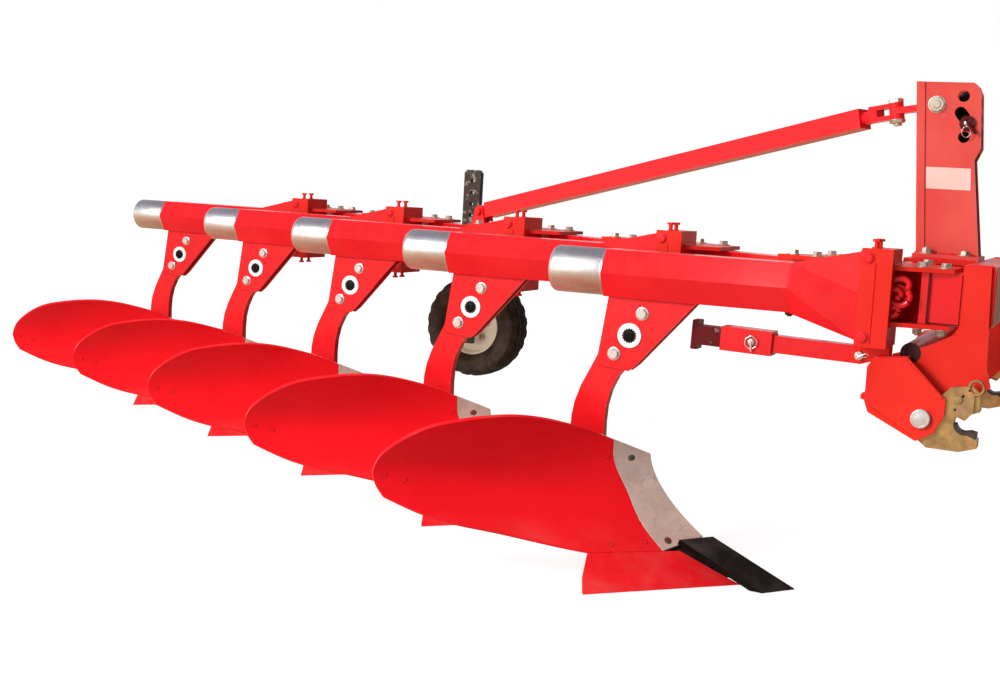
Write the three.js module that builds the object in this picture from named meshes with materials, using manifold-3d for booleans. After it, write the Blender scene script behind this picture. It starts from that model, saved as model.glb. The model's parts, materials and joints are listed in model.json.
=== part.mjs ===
import * as THREE from "three";
import { mergeVertices } from "three/addons/utils/BufferGeometryUtils.js";
import Module from "manifold-3d";

// Five furrow mounted plough, right turning, with sprung non-stop arms.
// Millimetres. X points forward, Y to the left, Z up. Zero height is the furrow sole.
// The frame of one body has its zero under the middle of its spring cover.

// Layout of the bodies
const BODIES = 5;
const FURROW = 406;
const BODY_STEP = 711;
const CLEAR = 0.3;
const SEAM = 0.5;
const BED_GAP = 1.8;
const OVERRUN = 5;

// Arm: a hexagonal tube on its flat, flared to a tall flange at the front
const TUBE_HEIGHT = 140;
const TUBE_WALL = 9;
const UNDER_CLEARANCE = 799.5;
const TUBE_LENGTH = 549;
const FLARE_LENGTH = 198;
const FLANGE_HALF_WIDTH = 70.6;
const FLANGE_DEPTH = 38;
const FLARE_TOP_RISE = 47;
const FLARE_BOTTOM_DROP = 58;

// Spring cover: a polished cup over the rear stub of the tube
const COVER_LENGTH = 174;
const COVER_BACK = 74;
const COVER_WALL = 6;
const COVER_ROUND = 16;
const COVER_NIP = 5;
const STUB_LENGTH = 136;

// Trip head: ears, pins and a front plate
const EAR = 14;
const HEAD_PLATE = 45;
const HEAD_TOP_RISE = 56.5;
const HEAD_BOTTOM_DROP = 72.5;
const PIN_RADIUS = 12;
const PIN_BACK = 19;
const TOP_PIN_DROP = 26;
const BOTTOM_PIN_RISE = 27;
const PIN_PROUD = 5;
const NOTCH_SLACK = 2.2;
const CLAW_RADIUS = 34;
const CLAW_BAND = 15;
const CLAW_WIDTH = 16;
const CLAW_SPREAD = 22;

// Clamp plates of a head and the oblique main beam they grip
const CLAMP = 12;
const BEAM_WIDTH = 100;
const BEAM_WALL = 10;
const BEAM_AHEAD = 138.7;
const BEAM_REAR_OVERHANG = 90;
const CLAMP_REACH = 110;
const HITCH_REACH = 153;
const CLAMP_MARGIN = 65;
const CLAMP_LENGTH = 440;
const CLAMP_NOSE_SET = 20;

// Leg and the cheeks under the tube
const CHEEK = 10;
const LEG = 28;
const LEG_BOLT = 11;
const BOLT_HEIGHT = 11;
const CHEEK_DROP = 209;
const CHEEK_LENGTH = 270;
const CHEEK_SET = 112;

// Plough body: every plate follows one twisted surface
const PLATE = 10;
const LAND_Y = 16;
const EDGE_BACK = 262;
const EDGE_REACH = 358;
const EDGE_HEIGHT = 345;
const EDGE_POWER_SHARE = 1.75;
const SHARE_ANGLE = 45.7;
const TWIST_ANGLE = 7.2;
const TWIST_HEIGHT = 200;
const BOARD_LENGTH = 857;
const BOARD_HEIGHT = 459;
const SHARE_LENGTH = 591;
const SHARE_HEIGHT = 80;
const SHIN_FOOT = 113;
const SHIN_TOP = 338;

// Chisel point
const POINT_THICKNESS = 18;
const POINT_LENGTH = 277;
const POINT_WIDTH = 122;
const POINT_SLOPE = 24.6;
const POINT_SWEEP = 53.7;
const POINT_TOP_X = 470;
const POINT_TOP_Z = 117;

// Frog, landside and stay behind the plates
const FROG_PATCH = 10;
const FROG_WEB = 12;
const LANDSIDE = 13.7;
const LANDSIDE_HEIGHT = 110;
const LANDSIDE_BACK = 172;
const LANDSIDE_FRONT = 508;
const SOLE_GAP = 12;
const STAY_RADIUS = 12;

// Headstock with the cross beam, end plates and lower hitch arms
const HITCH_SPREAD = 870;
const HITCH_CENTRE_Y = 450;
const CROSS_AHEAD = 173.7;
const CROSS_DEPTH = 82;
const CROSS_WALL = 8;
const DECK = 12;
const END_PLATE = 14;
const ARM_PLATE = 12;
const ARM_GAP = 56;
const SHAFT_RADIUS = 28;
const SHAFT_BORE = 20;
const RIB = 12;
const HOOK_BOLT = 14;
const HOOK_BOLT_HEAD = 25;
const HOOK_BOLT_HEIGHT = 12;
const JAW_RADIUS = 29;
const LATCH = 8;
const LATCH_PIN = 7;
const RING_RADIUS = 19;
const RING_BAR = 4.5;

// Mast with the top link holes
const MAST_HEIGHT = 520;
const MAST_SET = 220;
const MAST_GAP = 78;
const MAST_PLATE = 12;
const MAST_FLANGE = 24;
const MAST_WIDTH = 178;
const MAST_LEAN = 42;
const MAST_BASE = 14;
const LINK_HOLE = 17;
const LINK_PIN = 12.5;
const LINK_PIN_HEAD = 22;
const SLOT_HALF = 17;

// Brace from the mast head to the beam
const BRACE_SIZE = 60;
const BRACE_WALL = 6;
const BRACE_SOCKET = 40;
const EYE_THICKNESS = 20;
const EYE_WIDTH = 44;
const EYE_BOLT = 13;
const EYE_BOLT_HEAD = 20;
const FORK = 14;
const REAR_PIN = 14;
const REAR_TONGUE = 22;

// Depth wheel on its sliding post
const POST_WIDTH = 74;
const POST_DEPTH = 30;
const POST_TOP = 1165;
const POST_BOTTOM = 440;
const POST_HOLE = 9;
const POST_STEP_SHARE = 2.757;
const POST_HOLES = 5;
const POST_PITCH = 47;
const SOCKET_WALL = 10;
const SOCKET_HEIGHT = 130;
const TYRE_RADIUS = 215;
const TYRE_WIDTH = 160;
const RIM_RADIUS = 118;
const RIM_WIDTH = 120;
const AXLE_RADIUS = 15;
const HUB_RADIUS = 34;
const AXLE_HEIGHT = 505;

// Parking stand, folded back under the first arm
const STAND_BAR = 50;
const STAND_SLEEVE = 70;
const STAND_SLEEVE_LENGTH = 150;
const STAND_LEG_SIZE = 56;
const STAND_LENGTH = 400;
const STAND_LEG_LENGTH = 215;
const STAND_FOOT = 86;
const STAND_FOOT_PLATE = 14;
const STAND_PIN = 12;
const STAND_TILT = 1.5;
const STAND_Y = 54;
const STAND_EAR = 10;
const STAND_DROP = 34;
const EASE = 3;

// Places worked out from the sizes above
const tubeMid = UNDER_CLEARANCE + TUBE_HEIGHT / 2;
const tubeTop = UNDER_CLEARANCE + TUBE_HEIGHT;
const tubeCorner = TUBE_HEIGHT / Math.sqrt(3);
const tubeStart = COVER_LENGTH - COVER_BACK;
const flareStart = tubeStart + TUBE_LENGTH;
const flangeBack = flareStart + FLARE_LENGTH;
const flangeFront = flangeBack + FLANGE_DEPTH;
const pinX = flangeFront - PIN_BACK;
const headBack = flangeFront + CLEAR;
const headFront = headBack + HEAD_PLATE;
const headTop = tubeTop + HEAD_TOP_RISE;
const headBottom = UNDER_CLEARANCE - HEAD_BOTTOM_DROP;
const topPinZ = headTop - TOP_PIN_DROP;
const bottomPinZ = headBottom + BOTTOM_PIN_RISE;
const headHalf = FLANGE_HALF_WIDTH + CLEAR + EAR;
const beamAngle = Math.atan2(FURROW, BODY_STEP);
const along = new THREE.Vector2(-Math.cos(beamAngle), Math.sin(beamAngle));
const across = new THREE.Vector2(Math.sin(beamAngle), Math.cos(beamAngle));
const beamOffset = across.x * headFront + BEAM_AHEAD;
const crossBack = headFront + CROSS_AHEAD;
const beamBottom = UNDER_CLEARANCE - CLEAR;
const beamTop = tubeTop + CLEAR;
const deckTop = beamTop + CLEAR + CLAMP + CLEAR + DECK;

// Materials
const paint = (color, roughness, metalness) => ({ color, roughness, metalness });
const RED = paint(0xe4202a, 0.35, 0.1);
const STEEL = paint(0xb9b2a8, 0.3, 0.9);
const COVER_STEEL = paint(0xd9d4c8, 0.22, 1);
const BLACK = paint(0x17130f, 0.45, 0.2);
const POST_BROWN = paint(0x3a2a1d, 0.6, 0.3);
const RUBBER = paint(0x2b221c, 0.9, 0);
const CREAM = paint(0xe3d5b8, 0.45, 0.2);
const GOLD = paint(0xb89655, 0.45, 0.8);

const wasm = await Module();
wasm.setup();

// A closed three.js geometry as a solid, turned right side out when needed
function solid(geometry) {
  const bare = geometry.index ? geometry.toNonIndexed() : geometry.clone();
  bare.deleteAttribute("normal");
  bare.deleteAttribute("uv");
  const merged = mergeVertices(bare, 1e-3);
  const triVerts = new Uint32Array(merged.index.array);
  const vertProperties = merged.attributes.position.array;
  const made = new wasm.Manifold(new wasm.Mesh({ numProp: 3, vertProperties, triVerts }));
  if (made.volume() >= 0) return made;
  const turned = triVerts.map((v, i) => triVerts[i - (i % 3) + ((i % 3) * 2) % 3]);
  return new wasm.Manifold(new wasm.Mesh({ numProp: 3, vertProperties, triVerts: turned }));
}

// The geometry of a solid
function geometryOf(made) {
  const mesh = made.getMesh();
  const places = new Float32Array(mesh.numVert * 3);
  for (let i = 0; i < mesh.numVert; i++) {
    const from = i * mesh.numProp;
    places.set(mesh.vertProperties.subarray(from, from + 3), i * 3);
  }
  const geometry = new THREE.BufferGeometry();
  geometry.setAttribute("position", new THREE.BufferAttribute(places, 3));
  geometry.setIndex(new THREE.BufferAttribute(new Uint32Array(mesh.triVerts), 1));
  const faceted = geometry.toNonIndexed();
  faceted.computeVertexNormals();
  return faceted;
}

const unite = (pieces) => pieces.reduce((sum, piece) => sum.add(piece));
const cutAll = (base, cuts) => cuts.reduce((rest, piece) => rest.subtract(piece), base);

// Plates: an outline in one plane, given thickness along the third axis
const AXIS_X = new THREE.Vector3(1, 0, 0);
const AXIS_Y = new THREE.Vector3(0, 1, 0);
const AXIS_Z = new THREE.Vector3(0, 0, 1);

function extruded(points, depth) {
  const shape = new THREE.Shape(points.map(([a, b]) => new THREE.Vector2(a, b)));
  return new THREE.ExtrudeGeometry(shape, { depth, bevelEnabled: false });
}

// Outline in X and Z, between two values of Y
function sidePlate(points, y0, y1) {
  const geometry = extruded(points, y1 - y0);
  geometry.applyMatrix4(new THREE.Matrix4().makeBasis(AXIS_X, AXIS_Z, AXIS_Y.clone().negate()));
  return solid(geometry.translate(0, y1, 0));
}

// Outline in X and Y, between two heights
const flatPlate = (points, z0, z1) => solid(extruded(points, z1 - z0).translate(0, 0, z0));

// Outline in Y and Z, between two values of X
function crossPlate(points, x0, x1) {
  const geometry = extruded(points, x1 - x0);
  geometry.applyMatrix4(new THREE.Matrix4().makeBasis(AXIS_Y, AXIS_Z, AXIS_X));
  return solid(geometry.translate(x0, 0, 0));
}

// A box between two corners
function block(x0, y0, z0, x1, y1, z1) {
  const geometry = new THREE.BoxGeometry(x1 - x0, y1 - y0, z1 - z0);
  return solid(geometry.translate((x0 + x1) / 2, (y0 + y1) / 2, (z0 + z1) / 2));
}

// A round bar between two points
function bar(radius, from, to, sides) {
  const run = new THREE.Vector3().subVectors(to, from);
  const geometry = new THREE.CylinderGeometry(radius, radius, run.length(), sides);
  const turn = new THREE.Quaternion().setFromUnitVectors(AXIS_Y, run.clone().normalize());
  geometry.applyQuaternion(turn);
  const middle = new THREE.Vector3().addVectors(from, to).multiplyScalar(0.5);
  return solid(geometry.translate(middle.x, middle.y, middle.z));
}

const at = (x, y, z) => new THREE.Vector3(x, y, z);
const barY = (radius, x, z, y0, y1, sides) => bar(radius, at(x, y0, z), at(x, y1, z), sides);
const barZ = (radius, x, y, z0, z1, sides) => bar(radius, at(x, y, z0), at(x, y, z1), sides);

// Radius of a many sided hole that a round pin can turn in
const roomFor = (radius, sides) => (radius + CLEAR) / Math.cos(Math.PI / sides);
const holeY = (radius, x, z, y0, y1, sides) => barY(roomFor(radius, sides), x, z, y0, y1, sides);
const holeZ = (radius, x, y, z0, z1, sides) => barZ(roomFor(radius, sides), x, y, z0, z1, sides);

// A closed skin over a list of rings with equal counts of points
function loft(rings) {
  const count = rings[0].length;
  const places = rings.flat().flatMap((p) => [p.x, p.y, p.z]);
  const faces = [];
  for (let r = 0; r + 1 < rings.length; r++) {
    for (let i = 0; i < count; i++) {
      const a = r * count + i;
      const b = r * count + ((i + 1) % count);
      faces.push(a, b, b + count, a, b + count, a + count);
    }
  }
  const last = (rings.length - 1) * count;
  for (let i = 1; i + 1 < count; i++) {
    faces.push(0, i + 1, i, last, last + i, last + i + 1);
  }
  return indexed(places, faces);
}

function indexed(places, faces) {
  const geometry = new THREE.BufferGeometry();
  geometry.setAttribute("position", new THREE.Float32BufferAttribute(places, 3));
  geometry.setIndex(faces);
  return solid(geometry);
}

// Points on an arc in a plane
function arc(cx, cy, radius, start, end, steps) {
  return Array.from({ length: steps + 1 }, (_, i) => {
    const angle = THREE.MathUtils.degToRad(start + ((end - start) * i) / steps);
    return [cx + radius * Math.cos(angle), cy + radius * Math.sin(angle)];
  });
}

// A smooth line through points
function smooth(points, steps) {
  const curve = new THREE.SplineCurve(points.map(([a, b]) => new THREE.Vector2(a, b)));
  return curve.getPoints(steps).map((p) => [p.x, p.y]);
}

// The working surface. Run is the level distance from the land side edge, height is Z
function surface(run, height) {
  const rise = Math.max(1 - height / EDGE_HEIGHT, 0);
  const edge = EDGE_BACK + EDGE_REACH * Math.pow(rise, EDGE_POWER_SHARE);
  const lag = (height - TWIST_HEIGHT) / TWIST_HEIGHT;
  const angle = THREE.MathUtils.degToRad(SHARE_ANGLE - TWIST_ANGLE * (1 - lag * lag));
  return at(edge - run * Math.cos(angle), LAND_Y - run * Math.sin(angle), height);
}

// The direction that points through the surface, away from the soil
function inward(run, height) {
  const step = PLATE / 10;
  const alongRun = surface(run + step, height).sub(surface(run - step, height));
  const upHeight = surface(run, height + step).sub(surface(run, height - step));
  return alongRun.cross(upHeight).normalize();
}

// A plate over a grid of runs and heights, between two depths behind the surface
function skin(place, columns, rows, front, back) {
  const places = [];
  for (const depth of [front, back]) {
    for (let i = 0; i <= columns; i++) {
      for (let j = 0; j <= rows; j++) {
        const [run, height] = place(i / columns, j / rows);
        const p = surface(run, height).addScaledVector(inward(run, height), depth);
        places.push(p.x, p.y, p.z);
      }
    }
  }
  return indexed(places, skinFaces(columns, rows));
}

function skinFaces(columns, rows) {
  const index = (side, i, j) => side * (columns + 1) * (rows + 1) + i * (rows + 1) + j;
  const faces = [];
  const quad = (a, b, c, d) => faces.push(a, b, c, a, c, d);
  for (let i = 0; i < columns; i++) {
    for (let j = 0; j < rows; j++) {
      quad(index(0, i, j), index(0, i + 1, j), index(0, i + 1, j + 1), index(0, i, j + 1));
      quad(index(1, i, j), index(1, i, j + 1), index(1, i + 1, j + 1), index(1, i + 1, j));
    }
  }
  for (let i = 0; i < columns; i++) {
    quad(index(0, i, 0), index(1, i, 0), index(1, i + 1, 0), index(0, i + 1, 0));
    quad(index(0, i + 1, rows), index(1, i + 1, rows), index(1, i, rows), index(0, i, rows));
  }
  for (let j = 0; j < rows; j++) {
    quad(index(0, 0, j + 1), index(1, 0, j + 1), index(1, 0, j), index(0, 0, j));
    quad(index(0, columns, j), index(1, columns, j), index(1, columns, j + 1), index(0, columns, j + 1));
  }
  return faces;
}

// A patch between four edge curves that share their corners
function patch(bottom, top, front, rear) {
  return (u, v) => [0, 1].map((k) => {
    const sides = (1 - v) * bottom(u)[k] + v * top(u)[k] + (1 - u) * front(v)[k] + u * rear(v)[k];
    const low = (1 - u) * bottom(0)[k] + u * bottom(1)[k];
    const high = (1 - u) * top(0)[k] + u * top(1)[k];
    return sides - (1 - v) * low - v * high;
  });
}

const straight = (a, b) => (t) => [a[0] + (b[0] - a[0]) * t, a[1] + (b[1] - a[1]) * t];

// Two curves as one, the first over a given part of the way
const chain = (first, second, part) => (t) => (
  t < part ? first(t / part) : second((t - part) / (1 - part))
);
const JOINT_PART = 1 / 3;

// A curve through shares of the board's length, and of its height above the share
function edgeCurve(shares) {
  const rise = BOARD_HEIGHT - SHARE_HEIGHT;
  const points = shares.map(([a, b]) => (
    new THREE.Vector2(a * BOARD_LENGTH, SHARE_HEIGHT + b * rise)
  ));
  const curve = new THREE.SplineCurve(points);
  return (t) => curve.getPoint(t).toArray();
}

// Outlines of the plates, as shares of the board's length and height
const boardTopShares = [
  [0.144, 0.794], [0.235, 0.87], [0.335, 0.929], [0.435, 0.976], [0.53, 1], [0.613, 1],
  [0.708, 0.979], [0.814, 0.929], [0.891, 0.832], [0.955, 0.691], [0.996, 0.54],
];
const boardBottomShares = [[0.455, 0], [0.56, 0.049], [0.7, 0.124], [0.84, 0.19], [0.92, 0.255], [1, 0.358]];
const boardTailShares = [[1, 0.358], [1.004, 0.443], [0.996, 0.54]];
const seamShares = [[0.204, 0], [0.18, 0.164], [0.138, 0.394], [0.138, 0.588], [0.144, 0.794]];

const shareJoint = straight(
  edgeCurve(seamShares)(0),
  edgeCurve(boardBottomShares)(0),
);
const boardBottom = chain(
  shareJoint, edgeCurve(boardBottomShares), JOINT_PART,
);
const boardTop = edgeCurve(boardTopShares);
const boardTail = edgeCurve(boardTailShares);
const seam = edgeCurve(seamShares);
const lifted = (curve, run, rise) => (t) => [curve(t)[0] + run, curve(t)[1] + rise];

// Mouldboard: the long twisted plate
function mouldboard() {
  const place = patch(
    lifted(boardBottom, SEAM, SEAM), lifted(boardTop, SEAM, SEAM),
    lifted(seam, SEAM, SEAM), lifted(boardTail, SEAM, SEAM),
  );
  return skin(place, 12, 7, 0, PLATE);
}

// Shin: the wearing plate at the front edge
function shin() {
  const footFront = [0, SHIN_FOOT];
  const topFront = [0, SHIN_TOP];
  const rear = lifted(seam, -SEAM, SEAM);
  const place = patch(
    straight(footFront, rear(0)), straight(topFront, rear(1)), straight(footFront, topFront), rear,
  );
  return skin(place, 2, 7, 0, PLATE);
}

const shareFrontShares = [0.1, 0.207];
const shareRearShare = 0.694;

// Ground half space, which gives the share and the point their flat ground bevel
function aboveGround(made) {
  const reach = BODY_STEP * BODIES;
  return made.intersect(block(-reach, -reach, 0, reach, reach, reach));
}

// Share: the cutting plate along the furrow sole
function share() {
  const footFront = [SHARE_LENGTH * shareFrontShares[0], -PLATE];
  const footRear = [SHARE_LENGTH, -PLATE];
  const topFront = [SHARE_LENGTH * shareFrontShares[1], SHARE_HEIGHT - SEAM];
  const topRear = [SHARE_LENGTH * shareRearShare, SHARE_HEIGHT - SEAM];
  const place = patch(
    straight(footFront, footRear), straight(topFront, topRear),
    straight(footFront, topFront), straight(footRear, topRear),
  );
  return aboveGround(skin(place, 6, 2, 0, PLATE));
}

// Directions of the chisel point: down its length, over its width and through it
function pointFrame() {
  const slope = THREE.MathUtils.degToRad(POINT_SLOPE);
  const sweep = THREE.MathUtils.degToRad(POINT_SWEEP);
  const down = at(Math.cos(slope), 0, -Math.sin(slope));
  const over = at(-Math.cos(sweep), -Math.sin(sweep), 0);
  const through = new THREE.Vector3().crossVectors(over, down).normalize();
  if (through.z > 0) through.negate();
  return { down, over, through };
}

// The sheared bar of the point between two depths, with a margin all round
function pointBar(margin, from, to) {
  const { down, over, through } = pointFrame();
  const head = at(POINT_TOP_X, LAND_Y, POINT_TOP_Z);
  head.addScaledVector(down, -margin).addScaledVector(over, -margin);
  const ring = (depth) => {
    const a = head.clone().addScaledVector(through, depth);
    const b = a.clone().addScaledVector(down, POINT_LENGTH + 2 * margin);
    const c = b.clone().addScaledVector(over, POINT_WIDTH + 2 * margin);
    const d = a.clone().addScaledVector(over, POINT_WIDTH + 2 * margin);
    return [a, b, c, d];
  };
  return loft([ring(from), ring(to)]);
}

// Chisel point: a bar that lies over the nose, worn flat on the ground
const chiselPoint = () => aboveGround(pointBar(0, 0, POINT_THICKNESS));

const saddleShares = { near: 0.04, far: 0.4, low: 0.1, high: 0.54 };
const webShares = [[0.34, 0.18], [1, 0.18], [0.88, 0.6], [0.58, 0.88], [0.21, 0.88], [0.21, 0.45]];
const stayEndShares = [0.6, 0.62];
const stayRootShares = [0.25, 0.8];
const soilShares = { near: -0.12, far: 1, high: 1 };

// The room in front of the plates' back faces, used to trim what lies behind them
function soilSide() {
  const near = BOARD_LENGTH * soilShares.near;
  const far = BOARD_LENGTH * soilShares.far;
  const high = BOARD_HEIGHT * soilShares.high;
  const place = patch(
    straight([near, 0], [far, 0]), straight([near, high], [far, high]),
    straight([near, 0], [near, high]), straight([far, 0], [far, high]),
  );
  return skin(place, 12, 8, -LANDSIDE_HEIGHT, PLATE + BED_GAP);
}

// Nose of the frog, under the chisel point
function frogNose() {
  const { down, through } = pointFrame();
  const seat = at(POINT_TOP_X, 0, POINT_TOP_Z).addScaledVector(through, POINT_THICKNESS);
  const tipX = seat.x + (down.x * (seat.z - SOLE_GAP)) / -down.z;
  const room = pointBar(2 * POINT_THICKNESS, -2 * POINT_THICKNESS, POINT_THICKNESS + CLEAR);
  const rear = LANDSIDE_BACK + OVERRUN;
  const left = LAND_Y - LANDSIDE / 2;
  const high = SHARE_HEIGHT + SEAM;
  const outline = [[rear, SOLE_GAP], [tipX, SOLE_GAP], [seat.x, high], [rear, high]];
  return sidePlate(outline, left - 3 * PLATE, left).subtract(room);
}

// Frog: the saddle behind the plates, the web beside the leg and the stay to the tail
function frog() {
  const low = BOARD_HEIGHT * saddleShares.low;
  const high = BOARD_HEIGHT * saddleShares.high;
  const near = BOARD_LENGTH * saddleShares.near;
  const far = BOARD_LENGTH * saddleShares.far;
  const place = patch(
    straight([near, low], [far, low]), straight([near, high], [far, high]),
    straight([near, low], [near, high]), straight([far, low], [far, high]),
  );
  const depth = PLATE + BED_GAP;
  const saddle = skin(place, 5, 5, depth, depth + FROG_PATCH);
  const webFace = -LEG / 2 - CLEAR;
  const outline = webShares.map(([a, b]) => [a * LANDSIDE_FRONT, b * SHIN_TOP]);
  const web = sidePlate(outline, webFace - FROG_WEB, webFace);
  const stayFace = webFace - STAY_RADIUS - CLEAR;
  const root = at(LANDSIDE_FRONT * stayRootShares[0], stayFace, SHIN_TOP * stayRootShares[1]);
  const end = surface(BOARD_LENGTH * stayEndShares[0], BOARD_HEIGHT * stayEndShares[1]);
  const behind = web.add(bar(STAY_RADIUS, root, end, 8)).subtract(soilSide());
  const pieces = behind.decompose().sort((a, b) => b.volume() - a.volume());
  return unite([saddle, pieces[0], frogNose(), landside()]);
}

// Landside: the bar that rubs along the furrow wall
function landside() {
  const front = LANDSIDE_FRONT - LANDSIDE_HEIGHT;
  const outline = [
    [LANDSIDE_BACK, 0], [LANDSIDE_FRONT, 0], [front, LANDSIDE_HEIGHT],
    [LANDSIDE_BACK, LANDSIDE_HEIGHT],
  ];
  return sidePlate(outline, LAND_Y - LANDSIDE, LAND_Y);
}

// Places of the two bolts that hold the leg, as shares of the cheek
const legBoltShares = [[0.4, 0.208], [0.104, 0.81]];
const legBolts = legBoltShares.map(([a, b]) => [
  CHEEK_SET + a * CHEEK_LENGTH, UNDER_CLEARANCE - b * CHEEK_DROP,
]);

// Hexagon of the tube at one place along X, grown or shrunk by a margin
function hexRing(x, margin) {
  const half = TUBE_HEIGHT / 2 - margin;
  const corner = half / Math.cos(Math.PI / 6);
  const ring = [
    [corner, 0], [corner / 2, half], [-corner / 2, half],
    [-corner, 0], [-corner / 2, -half], [corner / 2, -half],
  ];
  return ring.map(([y, z]) => at(x, y, tubeMid + z));
}

// Tall end of the flare, in the same order as the hexagon
function flareRing(x) {
  const top = tubeTop + FLARE_TOP_RISE;
  const bottom = UNDER_CLEARANCE - FLARE_BOTTOM_DROP;
  const half = FLANGE_HALF_WIDTH;
  const ring = [
    [half, tubeMid], [half, top], [-half, top], [-half, tubeMid], [-half, bottom], [half, bottom],
  ];
  return ring.map(([y, z]) => at(x, y, z));
}

// Flange of the arm: round about the upper pin, notched for the lower one
function armFlange() {
  const nose = arc(pinX, topPinZ, PIN_BACK, 0, 90, 4);
  const outline = [
    [flangeBack - OVERRUN, headBottom], [flangeFront, headBottom], ...nose,
    [flangeBack - OVERRUN, topPinZ + PIN_BACK],
  ];
  const plate = sidePlate(outline, -FLANGE_HALF_WIDTH, FLANGE_HALF_WIDTH);
  const reach = FLANGE_HALF_WIDTH + OVERRUN;
  const hole = holeY(PIN_RADIUS, pinX, topPinZ, -reach, reach, 10);
  const slack = PIN_RADIUS + NOTCH_SLACK;
  const notch = block(
    pinX, -reach, bottomPinZ - slack, flangeFront + OVERRUN, reach, bottomPinZ + slack,
  );
  const root = barY(slack, pinX, bottomPinZ, -reach, reach, 8);
  return cutAll(plate, [hole, notch, root]);
}

const cheekShares = [[0, 0], [1.01, 0], [0.36, 0.95], [0.28, 1.04], [-0.1, 0.985], [-0.05, 0.5]];

// One cheek under the tube, with its two bolt holes
function cheek(side) {
  const inner = LEG / 2 + CLEAR;
  const outline = cheekShares.map(([a, b]) => [
    CHEEK_SET + a * CHEEK_LENGTH,
    UNDER_CLEARANCE - b * CHEEK_DROP + (b === 0 ? OVERRUN : 0),
  ]);
  const [y0, y1] = side > 0 ? [inner, inner + CHEEK] : [-inner - CHEEK, -inner];
  const holes = legBolts.map(([x, z]) => (
    holeY(LEG_BOLT, x, z, y0 - OVERRUN, y1 + OVERRUN, 8)
  ));
  return cutAll(sidePlate(outline, y0, y1), holes);
}

// Arm: tube, flare, flange, rear stub and cheeks
function arm() {
  const skinRings = [hexRing(tubeStart, 0), hexRing(flareStart, 0), flareRing(flangeBack)];
  const stubRadius = (TUBE_HEIGHT / 2 - COVER_WALL) * Math.cos(Math.PI / 24) - CLEAR;
  const rear = tubeStart - STUB_LENGTH;
  const stub = bar(stubRadius, at(rear, 0, tubeMid), at(tubeStart + OVERRUN, 0, tubeMid), 20);
  const bore = stubRadius - TUBE_WALL;
  const hollow = bar(bore, at(rear - OVERRUN, 0, tubeMid), at(flareStart, 0, tubeMid), 10);
  const shell = loft(skinRings).add(stub).subtract(hollow);
  return unite([shell, armFlange(), cheek(1), cheek(-1)]);
}

// Spring cover: a round cup, closed at the rear
function springCover() {
  const radius = TUBE_HEIGHT / 2;
  const profile = [
    [0, 0], [radius - COVER_ROUND, 0], [radius - COVER_NIP, COVER_NIP], [radius, COVER_ROUND],
    [radius, COVER_LENGTH - CLEAR],
    [radius - COVER_WALL, COVER_LENGTH - CLEAR], [radius - COVER_WALL, COVER_WALL * 2],
    [0, COVER_WALL * 2],
  ];
  const points = profile.map(([a, b]) => new THREE.Vector2(a, b));
  const turned = new THREE.LatheGeometry(points, 24);
  turned.applyMatrix4(new THREE.Matrix4().makeBasis(AXIS_Y, AXIS_X, AXIS_Z.clone().negate()));
  return solid(turned.translate(-COVER_BACK, 0, tubeMid));
}

const legRearShares = [
  [0.61, 0.976], [0.444, 0.876], [0.326, 0.782], [0.178, 0.684], [0.089, 0.605],
  [0.052, 0.539], [0.052, 0.488], [0.1, 0.4], [0.22, 0.313], [0.4, 0.231], [0.5, 0.2],
];
const legFrontShares = [
  [0.95, 0.2], [0.82, 0.244], [0.66, 0.3], [0.53, 0.363], [0.459, 0.425], [0.444, 0.485],
  [0.444, 0.555], [0.47, 0.62], [0.541, 0.687], [0.637, 0.735], [0.759, 0.782],
  [0.963, 0.876], [1.08, 0.976],
];

// Leg: a flat bar bent like a sickle, with its two through bolts
function leg() {
  const place = ([a, b]) => [a * CHEEK_LENGTH, b * UNDER_CLEARANCE];
  const rear = smooth(legRearShares.map(place), 12);
  const front = smooth(legFrontShares.map(place), 13);
  const plate = sidePlate([...rear, ...front], -LEG / 2, LEG / 2);
  const tip = LEG / 2 + CLEAR + CHEEK + BOLT_HEIGHT;
  const bolts = legBolts.map(([x, z]) => barY(LEG_BOLT, x, z, -tip, tip, 8));
  return unite([plate, ...bolts]);
}

// A hooked claw in front of the head plate
function claw(y) {
  const x = headFront + CLAW_BAND;
  const outer = arc(x, tubeMid, CLAW_RADIUS, 140, -140, 6);
  const inner = arc(x, tubeMid, CLAW_RADIUS - CLAW_BAND, -140, 140, 6);
  return sidePlate([...outer, ...inner], y - CLAW_WIDTH / 2, y + CLAW_WIDTH / 2);
}

// A place on the oblique beam: distance across it and distance along it
const onBeam = (n, t) => [across.x * n + along.x * t, across.y * n + along.y * t];
const alongAtX = (n, x) => (x - across.x * n) / along.x;
const clampFar = beamOffset + BEAM_WIDTH / 2 + CLAMP_MARGIN;
const clampNear = beamOffset - BEAM_WIDTH / 2 - CLAMP_MARGIN;
const clampEnd = alongAtX(clampFar, headFront + CLAMP_REACH) + CLAMP_LENGTH;

// Outline of a clamp plate in X and Y, with its nose a given reach in front of the head
function clampOutline(reach) {
  const clampNose = headFront + reach;
  const clampStart = alongAtX(clampFar, clampNose);
  const y = headHalf + EASE;
  const shoulder = (clampNear - across.y * y) / across.x;
  const inside = headFront - OVERRUN;
  return [
    [inside, -headHalf + CLAMP_MARGIN / 2], [clampNose, -CLAMP_NOSE_SET],
    onBeam(clampFar, clampStart), onBeam(clampFar, clampEnd), onBeam(clampNear, clampEnd),
    [shoulder, y], [inside, y],
  ];
}

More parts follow.
